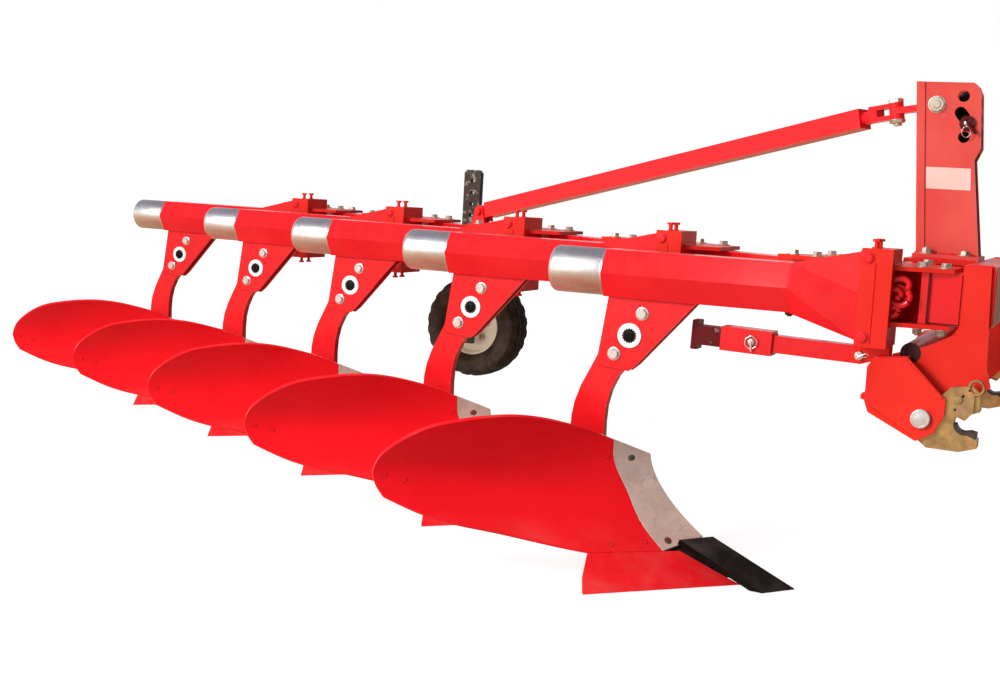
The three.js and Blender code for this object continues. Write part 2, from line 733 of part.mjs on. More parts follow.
// Trip head: front plate, ears with two pins, claws and the plates that clamp the beam
function tripHead(reach) {
  const plate = block(headBack, -headHalf, headBottom, headFront, headHalf, headTop);
  const earInner = headHalf - EAR;
  const inside = headBack + OVERRUN;
  const ears = [
    block(flangeBack, -headHalf, headBottom, inside, -earInner, headTop),
    block(flangeBack, earInner, headBottom, inside, headHalf, headTop),
  ];
  const proud = headHalf + PIN_PROUD;
  const pins = [topPinZ, bottomPinZ].map((z) => barY(PIN_RADIUS, pinX, z, -proud, proud, 10));
  const outline = clampOutline(reach);
  const clamps = [
    flatPlate(outline, beamTop + CLEAR, beamTop + CLEAR + CLAMP),
    flatPlate(outline, beamBottom - CLEAR - CLAMP, beamBottom - CLEAR),
  ];
  return unite([plate, ...ears, ...pins, ...clamps, claw(CLAW_SPREAD), claw(-CLAW_SPREAD)]);
}

// Ears under the first head that carry the parking stand
const standX = pinX - PIN_BACK;
const standZ = headBottom - STAND_DROP;
function standEar(y) {
  const round = arc(standX, standZ, STAND_BAR / 2, 90, 270, 5);
  const top = headBottom + OVERRUN;
  const under = headBottom - EASE;
  const front = headFront - OVERRUN;
  const outline = [
    [front, top], [headBack + OVERRUN, top], [headBack + OVERRUN, under], [standX, under],
    ...round, [front, standZ],
  ];
  const hole = holeY(STAND_PIN, standX, standZ, y - STAND_EAR, y + STAND_EAR, 10);
  return sidePlate(outline, y - STAND_EAR / 2, y + STAND_EAR / 2).subtract(hole);
}

// First head, with the ears of the stand
function firstHead() {
  const offset = STAND_BAR / 2 + CLEAR + STAND_EAR / 2;
  return unite([tripHead(HITCH_REACH), standEar(STAND_Y - offset), standEar(STAND_Y + offset)]);
}

// Main beam: an oblique box section, closed in front by the headstock
const lastBody = (BODIES - 1) * Math.hypot(BODY_STEP, FURROW);
const beamRear = clampEnd + lastBody + BEAM_REAR_OVERHANG;
const beamFrontX = crossBack - CLEAR;

function beamSection(margin, low, high, overrun) {
  const near = beamOffset - BEAM_WIDTH / 2 + margin;
  const far = beamOffset + BEAM_WIDTH / 2 - margin;
  const outline = [
    onBeam(near, alongAtX(near, beamFrontX) + (overrun ? BEAM_WALL : 0)),
    onBeam(far, alongAtX(far, beamFrontX) + (overrun ? BEAM_WALL : 0)),
    onBeam(far, beamRear + overrun),
    onBeam(near, beamRear + overrun),
  ];
  return flatPlate(outline, low, high);
}

// Where the brace comes down on the beam
const LUG_STEP_SHARE = 2.533;
const lugAlong = alongAtX(beamOffset, headFront - BODY_STEP * LUG_STEP_SHARE);
const [lugX, lugY] = onBeam(beamOffset, lugAlong);
const LUG_RISE = 58;
const LUG_RADIUS = 26;
const LUG_FOOT = 42;
const LUG = 14;
const lugZ = beamTop + LUG_RISE;

const mastBaseZ = deckTop + CLEAR;
const mastRear = crossBack - MAST_SET;
const MAST_TOP_SHARE = 0.873;
const eyeZ = mastBaseZ + MAST_HEIGHT * MAST_TOP_SHARE;
const EYE_SET = 58;
const EYE_LENGTH = 122;
const EYE_DROP = 20;
const mastRearX = (z) => mastRear + MAST_LEAN * (1 - (z - mastBaseZ) / MAST_HEIGHT);
const eyeX = mastRearX(eyeZ) + EYE_SET;
const forkX = eyeX - EYE_LENGTH;
const forkZ = eyeZ - EYE_DROP;

// Direction of the brace, seen from above and from the side
const braceRun = Math.hypot(forkX - lugX, HITCH_CENTRE_Y - lugY);
const braceTurn = Math.atan2(HITCH_CENTRE_Y - lugY, forkX - lugX);
const braceRise = Math.atan2(forkZ - lugZ, braceRun);
const braceLength = Math.hypot(braceRun, forkZ - lugZ);

// Turns a piece built along X into the line of the brace
function inBrace(made) {
  const geometry = geometryOf(made);
  const matrix = new THREE.Matrix4().makeTranslation(lugX, lugY, lugZ);
  matrix.multiply(new THREE.Matrix4().makeRotationZ(braceTurn));
  matrix.multiply(new THREE.Matrix4().makeRotationY(-braceRise));
  return solid(geometry.applyMatrix4(matrix));
}

// A piece turned level to the brace's heading only
function inHeading(made) {
  const geometry = geometryOf(made);
  const matrix = new THREE.Matrix4().makeTranslation(lugX, lugY, 0);
  matrix.multiply(new THREE.Matrix4().makeRotationZ(braceTurn));
  return solid(geometry.applyMatrix4(matrix));
}

// Lug of the brace on the beam: two cheeks and a pin
function braceLug() {
  const inner = REAR_TONGUE / 2 + CLEAR;
  const foot = beamTop - OVERRUN;
  const round = arc(0, lugZ, LUG_RADIUS, 0, 180, 8);
  const outline = [[-LUG_FOOT, foot], [LUG_FOOT, foot], ...round];
  const pin = barY(REAR_PIN, 0, lugZ, -inner - LUG - PIN_PROUD, inner + LUG + PIN_PROUD, 12);
  return inHeading(unite([
    sidePlate(outline, inner, inner + LUG), sidePlate(outline, -inner - LUG, -inner), pin,
  ]));
}

// Socket on the left face of the beam for the post of the depth wheel
const beamFace = beamOffset + BEAM_WIDTH / 2;
const postX = onBeam(beamFace, alongAtX(beamOffset, headFront - BODY_STEP * POST_STEP_SHARE))[0];
const postInnerY = (beamFace - across.x * (postX - POST_WIDTH / 2)) / across.y;
const postY = postInnerY + SOCKET_WALL + POST_DEPTH / 2;

function postSocket() {
  const inX = POST_WIDTH / 2 + CLEAR;
  const inY = POST_DEPTH / 2 + CLEAR;
  const low = tubeMid - SOCKET_HEIGHT / 2;
  const high = tubeMid + SOCKET_HEIGHT / 2;
  const wall = SOCKET_WALL;
  const deep = BEAM_WIDTH / 2;
  const body = block(
    postX - inX - wall, postY - inY - wall - deep, low, postX + inX + wall, postY + inY + wall, high,
  );
  const room = block(
    postX - inX, postY - inY, low - OVERRUN, postX + inX, postY + inY, high + OVERRUN,
  );
  return body.subtract(room);
}

function mainBeam() {
  const tube = beamSection(0, beamBottom, beamTop, 0);
  const hollow = beamSection(BEAM_WALL, beamBottom + BEAM_WALL, beamTop - BEAM_WALL, OVERRUN);
  return unite([tube.add(postSocket()).subtract(hollow), braceLug()]);
}

// Headstock outline values
const nearFace = HITCH_CENTRE_Y - HITCH_SPREAD / 2;
const farFace = HITCH_CENTRE_Y + HITCH_SPREAD / 2;
const crossFront = crossBack + CROSS_DEPTH;
const endShares = [
  [1, 1], [1.065, 1], [1.074, 0.715], [1.087, 0.667], [1.005, 0.56], [0.93, 0.53],
  [0.85, 0.6], [0.85, 0.735], [0.93, 0.765], [0.985, 0.8], [1, 0.825],
];
const armShares = [
  [0.8, 0.7], [0.815, 0.725], [0.895, 0.735], [0.992, 0.628], [0.992, 0.583],
  [0.97, 0.532], [0.93, 0.503], [0.81, 0.57], [0.8, 0.6],
];
const hookBoltShares = [0.938, 0.569];
const hookBoltX = crossBack * hookBoltShares[0];
const hookBoltZ = deckTop * hookBoltShares[1];
const SHAFT_X_SHARE = 0.893;
const SHAFT_Z_SHARE = 0.742;

// Lower hitch arm on one side: inner end plate, outer plate and the web between them
function hitchArm(side) {
  const face = side > 0 ? farFace : nearFace;
  const y = (out) => face + side * out;
  const span = (a, b) => (side > 0 ? [y(a), y(b)] : [y(b), y(a)]);
  const endOutline = endShares.map(([a, b]) => [a * crossBack, b * deckTop]);
  const armOutline = armShares.map(([a, b]) => [a * crossBack, b * deckTop]);
  const outer = END_PLATE + ARM_GAP;
  const [back, bend, tip] = armOutline;
  const web = [
    back, bend, tip, [tip[0], tip[1] - ARM_PLATE],
    [bend[0] + ARM_PLATE, bend[1] - ARM_PLATE], [back[0] + ARM_PLATE, back[1]],
  ];
  const [low, high] = span(-OVERRUN, outer + ARM_PLATE + OVERRUN);
  const hole = holeY(HOOK_BOLT, hookBoltX, hookBoltZ, low, high, 12);
  return unite([
    sidePlate(endOutline, ...span(0, END_PLATE)),
    sidePlate(armOutline, ...span(outer, outer + ARM_PLATE)),
    sidePlate(web, ...span(END_PLATE / 2, outer + ARM_PLATE / 2)),
  ]).subtract(hole);
}

// Headstock: cross beam, deck for the mast, cross shaft and the two lower arms
const MAST_BED = 140;
function headstock() {
  const deckLow = deckTop - DECK;
  const wall = CROSS_WALL;
  const cross = block(crossBack, nearFace, beamBottom, crossFront, farFace, deckTop);
  const room = block(
    crossBack + wall, nearFace + wall, beamBottom - OVERRUN, crossFront - wall, farFace - wall,
    deckLow - wall,
  );
  const bedBack = mastRearX(mastBaseZ) - MAST_FLANGE;
  const bed = block(
    bedBack, HITCH_CENTRE_Y - MAST_BED, deckLow, crossBack + OVERRUN, HITCH_CENTRE_Y + MAST_BED, deckTop,
  );
  const ribs = [-1, 1].map((side) => {
    const y = HITCH_CENTRE_Y + side * (MAST_GAP / 2);
    return block(
      bedBack + DECK, y - RIB / 2, tubeMid, crossBack + OVERRUN, y + RIB / 2, deckLow + OVERRUN,
    );
  });
  const crossBar = (radius, over, sides) => barY(
    radius, crossBack * SHAFT_X_SHARE, deckTop * SHAFT_Z_SHARE,
    nearFace - END_PLATE / 2 - over, farFace + END_PLATE / 2 + over, sides,
  );
  return unite([
    cross.subtract(room), bed, ...ribs, crossBar(SHAFT_RADIUS, 0, 16), hitchArm(1), hitchArm(-1),
  ]).subtract(crossBar(SHAFT_BORE, END_PLATE, 10));
}

// Coupling hook on one lower arm, in the frame of the near side
const hookShares = [
  [0.905, 0.575], [0.905, 0.53], [0.955, 0.487], [1.03, 0.485], [1.072, 0.5], [1.072, 0.523],
  [1.045, 0.535], [1.045, 0.59], [1.072, 0.602], [1.068, 0.655], [1.052, 0.672],
  [1.0, 0.662], [0.975, 0.63],
];
const jawShares = [1.04, 0.563];
const latchPinShares = [1.022, 0.632];
const jawX = crossBack * jawShares[0];
const jawZ = deckTop * jawShares[1];
const latchX = crossBack * latchPinShares[0];
const latchZ = deckTop * latchPinShares[1];

function sideCentre(side) {
  const face = side > 0 ? farFace : nearFace;
  return face + side * (END_PLATE + ARM_GAP / 2);
}

function hook(side) {
  const centre = sideCentre(side);
  const half = ARM_GAP / 2 - CLEAR;
  const outline = hookShares.map(([a, b]) => [a * crossBack, b * deckTop]);
  const body = sidePlate(outline, centre - half, centre + half);
  const jaw = barY(JAW_RADIUS, jawX, jawZ, centre - half - OVERRUN, centre + half + OVERRUN, 16);
  const outerFace = centre + side * (ARM_GAP / 2 + ARM_PLATE + CLEAR);
  const innerFace = centre - side * (ARM_GAP / 2 + END_PLATE + CLEAR);
  const outerTip = outerFace + side * HOOK_BOLT_HEIGHT;
  const innerTip = innerFace - side * HOOK_BOLT_HEIGHT;
  const sorted = (a, b) => [Math.min(a, b), Math.max(a, b)];
  const outward = centre + side * (half + CLEAR + LATCH + CLEAR);
  return unite([
    body.subtract(jaw),
    barY(HOOK_BOLT, hookBoltX, hookBoltZ, ...sorted(innerTip, outerTip), 12),
    barY(HOOK_BOLT_HEAD, hookBoltX, hookBoltZ, ...sorted(outerFace, outerTip), 12),
    barY(HOOK_BOLT_HEAD, hookBoltX, hookBoltZ, ...sorted(innerFace, innerTip), 6),
    barY(LATCH_PIN, latchX, latchZ, ...sorted(centre, outward), 10),
  ]);
}

const latchShares = [
  [1.001, 0.61], [1.01, 0.588], [1.04, 0.575], [1.058, 0.6], [1.058, 0.645], [1.045, 0.667],
  [1.012, 0.662],
];

const ringShares = [2.2, 1.9];

// Side latch with its pull ring
function latch(side) {
  const centre = sideCentre(side);
  const inner = centre + side * (ARM_GAP / 2);
  const outer = inner + side * LATCH;
  const low = Math.min(inner, outer);
  const high = Math.max(inner, outer);
  const outline = latchShares.map(([a, b]) => [a * crossBack, b * deckTop]);
  const hole = holeY(LATCH_PIN, latchX, latchZ, low - OVERRUN, high + OVERRUN, 10);
  const ringX = latchX + RING_RADIUS * ringShares[0];
  const ringZ = latchZ + RING_RADIUS * ringShares[1];
  const ring = new THREE.TorusGeometry(RING_RADIUS, RING_BAR, 6, 14);
  ring.applyMatrix4(new THREE.Matrix4().makeBasis(AXIS_X, AXIS_Z, AXIS_Y.clone().negate()));
  ring.translate(ringX, (low + high) / 2, ringZ);
  return sidePlate(outline, low, high).subtract(hole).add(solid(ring));
}

// Mast: two plates, a rear flange and a foot
const mastShares = [
  [0.05, 0], [1, 0], [0.92, 0.56], [1.02, 0.63], [1.02, 0.94], [0.97, 0.985], [0.92, 1], [0.05, 1],
];
const linkHoleShares = [[0.752, 0.922], [0.755, 0.69]];
const slotShares = [[0.7, 0.83], [0.815, 0.775]];

function onMast([w, h]) {
  const z = mastBaseZ + MAST_BASE / 2 + h * (MAST_HEIGHT - MAST_BASE / 2);
  return [mastRearX(z) + w * MAST_WIDTH, z];
}

function mast() {
  const inner = MAST_GAP / 2;
  const outer = inner + MAST_PLATE;
  const y = HITCH_CENTRE_Y;
  const outline = mastShares.map(onMast);
  const wide = outer + OVERRUN;
  const flange = sidePlate([
    onMast([0, 0]), [onMast([0, 0])[0] + MAST_FLANGE, onMast([0, 0])[1]],
    [onMast([0, 1])[0] + MAST_FLANGE, onMast([0, 1])[1]], onMast([0, 1]),
  ], y - wide, y + wide);
  const foot = block(
    onMast([0, 0])[0] - OVERRUN, y - outer * 2, mastBaseZ,
    onMast([1, 0])[0] + OVERRUN, y + outer * 2, mastBaseZ + MAST_BASE,
  );
  const through = ([x, z], radius) => barY(radius, x, z, y - wide, y + wide, 12);
  const [a, b] = slotShares.map(onMast);
  const slotTurn = Math.atan2(b[1] - a[1], b[0] - a[0]) * THREE.MathUtils.RAD2DEG;
  const slot = sidePlate([
    ...arc(a[0], a[1], SLOT_HALF, slotTurn + 90, slotTurn + 270, 6),
    ...arc(b[0], b[1], SLOT_HALF, slotTurn - 90, slotTurn + 90, 6),
  ], y - wide, y + wide);
  const window = block(
    onMast([0, 0])[0] - MAST_LEAN * 2, y - EYE_WIDTH / 2 - CLEAR, eyeZ - EYE_WIDTH,
    eyeX, y + EYE_WIDTH / 2 + CLEAR, eyeZ + EYE_WIDTH / 2,
  );
  return cutAll(unite([
    sidePlate(outline, y - outer, y - inner), sidePlate(outline, y + inner, y + outer), flange, foot,
  ]), [
    ...linkHoleShares.map((p) => through(onMast(p), LINK_HOLE)), slot,
    through([eyeX, eyeZ], roomFor(EYE_BOLT, 12)), window,
  ]);
}

// Top link pin, at the low end of the slot
function topLinkPin() {
  const [x, z] = onMast(slotShares[1]);
  const drop = SLOT_HALF * Math.cos(Math.PI / 12) - LINK_PIN - CLEAR;
  const outer = MAST_GAP / 2 + MAST_PLATE + CLEAR;
  const near = HITCH_CENTRE_Y - outer;
  const far = HITCH_CENTRE_Y + outer + LINK_PIN_HEAD;
  return unite([
    barY(LINK_PIN, x, z - drop, near - OVERRUN, far, 16),
    barY(LINK_PIN_HEAD, x, z - drop, near - LATCH, near, 16),
  ]);
}

// Eye bar between the mast and the fork of the brace, with its two bolts
function eyeBar() {
  const y = HITCH_CENTRE_Y;
  const tilt = Math.atan2(EYE_DROP, EYE_LENGTH);
  const run = Math.hypot(EYE_DROP, EYE_LENGTH);
  const outline = [
    ...arc(0, 0, EYE_WIDTH / 2, -90, 90, 8), ...arc(-run, 0, EYE_WIDTH / 2, 90, 270, 8),
  ];
  const plate = flatPlate(outline, -EYE_THICKNESS / 2, EYE_THICKNESS / 2);
  const reach = EYE_THICKNESS / 2 + CLEAR + FORK + CLEAR;
  const tip = reach + BOLT_HEIGHT;
  const upright = unite([
    barZ(EYE_BOLT, -run, 0, -tip, tip, 12),
    barZ(EYE_BOLT_HEAD, -run, 0, reach, tip, 6),
    barZ(EYE_BOLT_HEAD, -run, 0, -tip, -reach, 6),
  ]);
  const turned = geometryOf(plate.add(upright));
  const matrix = new THREE.Matrix4().makeTranslation(eyeX, y, eyeZ);
  matrix.multiply(new THREE.Matrix4().makeRotationY(-tilt));
  const outer = MAST_GAP / 2 + MAST_PLATE + CLEAR;
  const end = outer + BOLT_HEIGHT;
  const hub = EYE_WIDTH / 2;
  return unite([
    solid(turned.applyMatrix4(matrix)),
    barY(EYE_BOLT + EASE, eyeX, eyeZ, y - hub, y + hub, 12),
    barY(EYE_BOLT, eyeX, eyeZ, y - end, y + end, 12),
    barY(EYE_BOLT_HEAD, eyeX, eyeZ, y - end, y - outer, 6),
    barY(EYE_BOLT_HEAD, eyeX, eyeZ, y + outer, y + end, 6),
  ]);
}

const NECK_SHARE = 0.7;
const FORK_DEPTH_SHARE = 6;

// Brace: square tube with a fork in front and a tongue behind
function brace() {
  const half = BRACE_SIZE / 2;
  const forkBack = braceLength - FORK * FORK_DEPTH_SHARE;
  const tubeFront = forkBack - FORK * 2;
  const tubeBack = LUG_RADIUS + FORK;
  const inside = half - BRACE_WALL;
  const tube = block(tubeBack, -half, -half, tubeFront, half, half).subtract(block(
    tubeBack - OVERRUN, -inside, -inside, tubeFront - BRACE_WALL, inside, inside,
  ));
  const tongueHalf = LUG_RADIUS - EASE;
  const seat = half - BRACE_WALL / 2;
  const tongue = sidePlate([
    [tubeBack + BRACE_SOCKET, -seat], [tubeBack + BRACE_SOCKET, seat], [tubeBack, seat],
    ...arc(0, 0, tongueHalf, 90, 270, 8), [tubeBack, -seat],
  ], -REAR_TONGUE / 2, REAR_TONGUE / 2);
  const hole = holeY(REAR_PIN, 0, 0, -REAR_TONGUE, REAR_TONGUE, 12);
  const neck = bar(half * NECK_SHARE, at(tubeFront - OVERRUN, 0, 0), at(forkBack + OVERRUN, 0, 0), 12);
  return inBrace(unite([tube, tongue.subtract(hole), neck])).add(braceFork(forkBack));
}

// Fork of the brace, level with the eye bar
function braceFork(forkBack) {
  const inner = EYE_THICKNESS / 2 + CLEAR;
  const outer = inner + FORK;
  const reach = braceLength - forkBack;
  const half = EYE_WIDTH / 2;
  const outline = [[-reach, -half], ...arc(0, 0, half, -90, 90, 8), [-reach, half]];
  const body = flatPlate(outline, -outer, outer);
  const room = block(-reach + FORK * 2, -half * 2, -inner, half * 2, half * 2, inner);
  const hole = holeZ(EYE_BOLT, 0, 0, -outer - OVERRUN, outer + OVERRUN, 12);
  const tilt = Math.atan2(EYE_DROP, EYE_LENGTH);
  const run = Math.hypot(EYE_DROP, EYE_LENGTH);
  const matrix = new THREE.Matrix4().makeTranslation(eyeX, HITCH_CENTRE_Y, eyeZ);
  matrix.multiply(new THREE.Matrix4().makeRotationY(-tilt));
  matrix.multiply(new THREE.Matrix4().makeTranslation(-run, 0, 0));
  matrix.multiply(new THREE.Matrix4().makeRotationZ(braceTurn));
  return solid(geometryOf(cutAll(body, [room, hole])).applyMatrix4(matrix));
}

// Depth wheel: a holed post with its axle, a rim and a tyre
const wheelY = postY + POST_DEPTH / 2 + SOCKET_WALL + TYRE_WIDTH / 2 + SOCKET_WALL;

const CAP_SHARE = 0.7;

function wheelPost() {
  const halfX = POST_WIDTH / 2;
  const halfY = POST_DEPTH / 2;
  const bevel = halfX / 3;
  const outline = [
    [postX - halfX, POST_BOTTOM], [postX + halfX, POST_BOTTOM],
    [postX + halfX, POST_TOP - bevel], [postX + halfX - bevel, POST_TOP],
    [postX - halfX + bevel, POST_TOP], [postX - halfX, POST_TOP - bevel],
  ];
  const post = sidePlate(outline, postY - halfY, postY + halfY);
  const holes = Array.from({ length: POST_HOLES }, (_, i) => barY(
    POST_HOLE, postX, POST_TOP - POST_PITCH * (i + 1), postY - POST_DEPTH, postY + POST_DEPTH, 8,
  ));
  const axleEnd = wheelY + RIM_WIDTH / 2;
  const axle = barY(AXLE_RADIUS, postX, AXLE_HEIGHT, postY, axleEnd, 16);
  const collarEnd = wheelY - RIM_WIDTH / 2 - CLEAR;
  const collar = barY(HUB_RADIUS, postX, AXLE_HEIGHT, postY, collarEnd, 16);
  const cap = barY(HUB_RADIUS * CAP_SHARE, postX, AXLE_HEIGHT, axleEnd + CLEAR, axleEnd + LATCH, 12);
  const tip = barY(AXLE_RADIUS, postX, AXLE_HEIGHT, axleEnd - OVERRUN, axleEnd + LATCH, 16);
  return unite([cutAll(post, holes), axle, collar, cap, tip]);
}

// Turns a closed profile of radius and width about the axle
function wheelLathe(profile, sides) {
  const points = profile.map(([r, w]) => new THREE.Vector2(r, w));
  const turned = new THREE.LatheGeometry([...points, points[0].clone()], sides);
  return solid(turned.translate(postX, wheelY, AXLE_HEIGHT));
}

const tyreShares = [
  [0.56, -0.34], [0.7, -0.47], [0.86, -0.5], [0.95, -0.42], [1, -0.28], [1, 0.28],
  [0.95, 0.42], [0.86, 0.5], [0.7, 0.47], [0.56, 0.34],
];

function tyre() {
  return wheelLathe(tyreShares.map(([r, w]) => [r * TYRE_RADIUS, w * TYRE_WIDTH]), 28);
}

function rim() {
  const half = RIM_WIDTH / 2;
  const bead = TYRE_RADIUS * tyreShares[0][0] - CLEAR;
  const disc = LATCH / 2;
  const bore = roomFor(AXLE_RADIUS, 28);
  return wheelLathe([
    [bore, -half], [HUB_RADIUS, -half], [HUB_RADIUS, -disc], [bead - disc * 2, -disc],
    [bead - disc * 2, -half], [bead, -half], [bead, half], [bead - disc * 2, half],
    [bead - disc * 2, disc], [bore, disc],
  ], 28);
}

// Parking stand, built along X behind its pivot and tilted into place
function inStand(made) {
  const matrix = new THREE.Matrix4().makeTranslation(standX, STAND_Y, standZ);
  matrix.multiply(new THREE.Matrix4().makeRotationY(THREE.MathUtils.degToRad(STAND_TILT)));
  return solid(geometryOf(made).applyMatrix4(matrix));
}

const standGap = STAND_LEG_SIZE / 2 + CLEAR;

function standTube() {
  const half = STAND_BAR / 2;
  const sleeveFront = -STAND_LENGTH + STAND_SLEEVE_LENGTH;
  const side = STAND_SLEEVE / 2;
  const lug = sidePlate([
    [sleeveFront - OVERRUN, -half], ...arc(0, 0, half, -90, 90, 8), [sleeveFront - OVERRUN, half],
  ], -half, half);
  const sleeve = block(-STAND_LENGTH, -side, -side, sleeveFront, side, side);
  const room = block(
    -STAND_LENGTH - OVERRUN, -standGap, -standGap, sleeveFront - SOCKET_WALL, standGap, standGap,
  );
  const ear = half + CLEAR + STAND_EAR + CLEAR;
  const pin = barY(STAND_PIN, 0, 0, -ear - STAND_EAR, ear + STAND_EAR, 10);
  return inStand(unite([sleeve.subtract(room), lug, pin]));
}

function standLeg() {
  const half = STAND_LEG_SIZE / 2;
  const foot = STAND_FOOT / 2;
  const front = -STAND_LENGTH + STAND_SLEEVE_LENGTH - SOCKET_WALL - CLEAR;
  const back = front - STAND_LEG_LENGTH;
  return inStand(unite([
    block(back, -half, -half, front, half, half),
    block(back - STAND_FOOT_PLATE, -half, -foot, back + OVERRUN, half, foot),
  ]));
}

// Assembly: five alike bodies along the beam, then the shared pieces
function piece(name, made, { color, roughness, metalness }) {
  const material = new THREE.MeshStandardMaterial({ color, roughness, metalness });
  const mesh = new THREE.Mesh(geometryOf(made), material);
  mesh.name = name;
  return mesh;
}

const bodyPieces = [
  ["arm", arm, RED],
  ["spring_cover", springCover, COVER_STEEL],
  ["leg", leg, RED],
  ["mouldboard", mouldboard, RED],
  ["shin", shin, STEEL],
  ["share", share, RED],
  ["point", chiselPoint, BLACK],
  ["frog", frog, BLACK],
];

const plough = new THREE.Group();
for (let i = 0; i < BODIES; i++) {
  const body = new THREE.Group();
  body.position.set(-BODY_STEP * i, FURROW * i, 0);
  body.add(piece(`head_${i + 1}`, i === 0 ? firstHead() : tripHead(CLAMP_REACH), RED));
  for (const [name, make, look] of bodyPieces) body.add(piece(`${name}_${i + 1}`, make(), look));
  plough.add(body);
}

const sharedPieces = [
  ["main_beam", mainBeam(), RED],
  ["headstock", headstock(), RED],
  ["mast", mast(), RED],
  ["top_link_pin", topLinkPin(), STEEL],
  ["eye_bar", eyeBar(), RED],
  ["brace", brace(), RED],
  ["wheel_post", wheelPost(), POST_BROWN],
  ["tyre", tyre(), RUBBER],
  ["rim", rim(), CREAM],
  ["stand_tube", standTube(), RED],
  ["stand_leg", standLeg(), RED],
  ["hook_right", hook(-1), GOLD],
  ["hook_left", hook(1), GOLD],
  ["latch_right", latch(-1), GOLD],
  ["latch_left", latch(1), GOLD],
];
for (const [name, made, look] of sharedPieces) plough.add(piece(name, made, look));

// The origin lies under the middle of the whole plough, on the ground
const hull = new THREE.Box3().setFromObject(plough);
const middle = hull.getCenter(new THREE.Vector3());
plough.position.set(-middle.x, -middle.y, -hull.min.z);

const group = new THREE.Group();
group.add(plough);
export default group;
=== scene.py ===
import json
from math import atan2, cos, pi, radians, sin
import bmesh
import bpy
from mathutils import Matrix, Vector, noise


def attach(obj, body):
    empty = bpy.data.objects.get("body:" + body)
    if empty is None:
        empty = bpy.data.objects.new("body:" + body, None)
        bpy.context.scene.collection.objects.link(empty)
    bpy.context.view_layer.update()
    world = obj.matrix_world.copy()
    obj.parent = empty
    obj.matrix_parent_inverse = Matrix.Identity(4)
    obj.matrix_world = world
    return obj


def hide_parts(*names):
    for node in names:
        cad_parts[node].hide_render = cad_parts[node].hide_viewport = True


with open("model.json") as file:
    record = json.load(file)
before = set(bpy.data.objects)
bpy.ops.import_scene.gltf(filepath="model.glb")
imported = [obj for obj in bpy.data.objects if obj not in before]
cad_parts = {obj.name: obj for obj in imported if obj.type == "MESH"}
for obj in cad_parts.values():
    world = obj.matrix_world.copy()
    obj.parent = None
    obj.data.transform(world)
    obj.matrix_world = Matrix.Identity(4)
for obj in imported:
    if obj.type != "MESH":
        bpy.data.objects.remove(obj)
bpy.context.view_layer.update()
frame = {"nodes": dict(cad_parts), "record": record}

# X is forward, Y to the left, Z up, all in metres but for mm(). Sizes and places are those of the CAD source.
# Places on a body are counted from under the middle of its spring cover, and shared places from the
# same point of the first body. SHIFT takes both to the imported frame.
BODIES = 5
STEP, FURROW = 0.711, 0.406
SHIFT = Vector((1.0138584, -0.7691463, 0.0))
SIDES = (-1, 1)


def offset(k):
    return SHIFT + Vector((-STEP * k, FURROW * k, 0.0))


def shared(*p):
    return Vector(p) + SHIFT


def mm(*pairs):
    """Pairs of measures given in millimetres: places, or the radius and height of a turned outline."""
    return [(a / 1000, b / 1000) for a, b in pairs]


# Small mesh tools

def put(name, data):
    obj = bpy.data.objects.new(name, data)
    bpy.context.scene.collection.objects.link(obj)
    return obj


# Edges that turn by more than so many degrees stay sharp
HARD, ROUNDED, BEADED = 30, 40, 50


def link(name, bm, body, material, smooth=HARD, at=None):
    """Makes a piece that rides on body, with edges sharp where they turn by more than smooth degrees."""
    mesh = bpy.data.meshes.new(name)
    bmesh.ops.recalc_face_normals(bm, faces=bm.faces)
    bm.to_mesh(mesh)
    bm.free()
    obj = put(name, mesh)
    mesh.materials.append(material)
    mesh.polygons.foreach_set("use_smooth", [True] * len(mesh.polygons))
    mesh.set_sharp_from_angle(angle=radians(smooth))
    if at is not None:
        obj.location = at
    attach(obj, body)
    return obj


def link_copy(name, k, bm, material, smooth=HARD, body=None):
    """Links the copy of a piece that goes with body k, riding on that body unless another is named."""
    return link(f"{name}_{k + 1}", bm, body or f"body_{k + 1}", material, smooth, offset(k))


def soften(obj, width, segments=2, angle=40):
    edge = obj.modifiers.new("edges", "BEVEL")
    edge.width = width
    edge.segments = segments
    edge.limit_method = "ANGLE"
    edge.angle_limit = radians(angle)
    edge.harden_normals = True


def basis(direction):
    """A frame whose Z is direction."""
    z = Vector(direction).normalized()
    x = Vector((0, 0, 1) if abs(z.z) < 0.9 else (1, 0, 0)).cross(z).normalized()
    return Matrix((x, z.cross(x), z)).transposed().to_4x4()


def on_circle(radius, i, count, turn=0):
    """The i-th of count points on a circle."""
    a = 2 * pi * i / count + turn
    return radius * cos(a), radius * sin(a)


def circle(radius, count):
    return [on_circle(radius, i, count) for i in range(count)]


def ring_stack(bm, rings, loop=False):
    """Skins rings of points, and closes both ends or joins the last to the first."""
    rows = [[bm.verts.new(p) for p in ring] for ring in rings]
    count = len(rows[0])
    for a, b in list(zip(rows, rows[1:])) + ([(rows[-1], rows[0])] if loop else []):
        for i in range(count):
            j = (i + 1) % count
            bm.faces.new((a[i], a[j], b[j], b[i]))
    if not loop:
        bm.faces.new(list(reversed(rows[0])))
        bm.faces.new(rows[-1])


def lathe(bm, profile, at, direction, sides, closed=False):
    """Turns (radius, height) points about direction through at."""
    m = Matrix.Translation(at) @ basis(direction)
    rings = [[m @ Vector((x, y, height)) for x, y in circle(radius, sides)] for radius, height in profile]
    ring_stack(bm, rings, loop=closed)


HEAD_POINTS = 24
POINTS_PER_FLAT = HEAD_POINTS // 6
CROWN_SHARE, CROWN_HEIGHT_SHARE, TOP_SHARE = 0.985, 0.82, 0.6


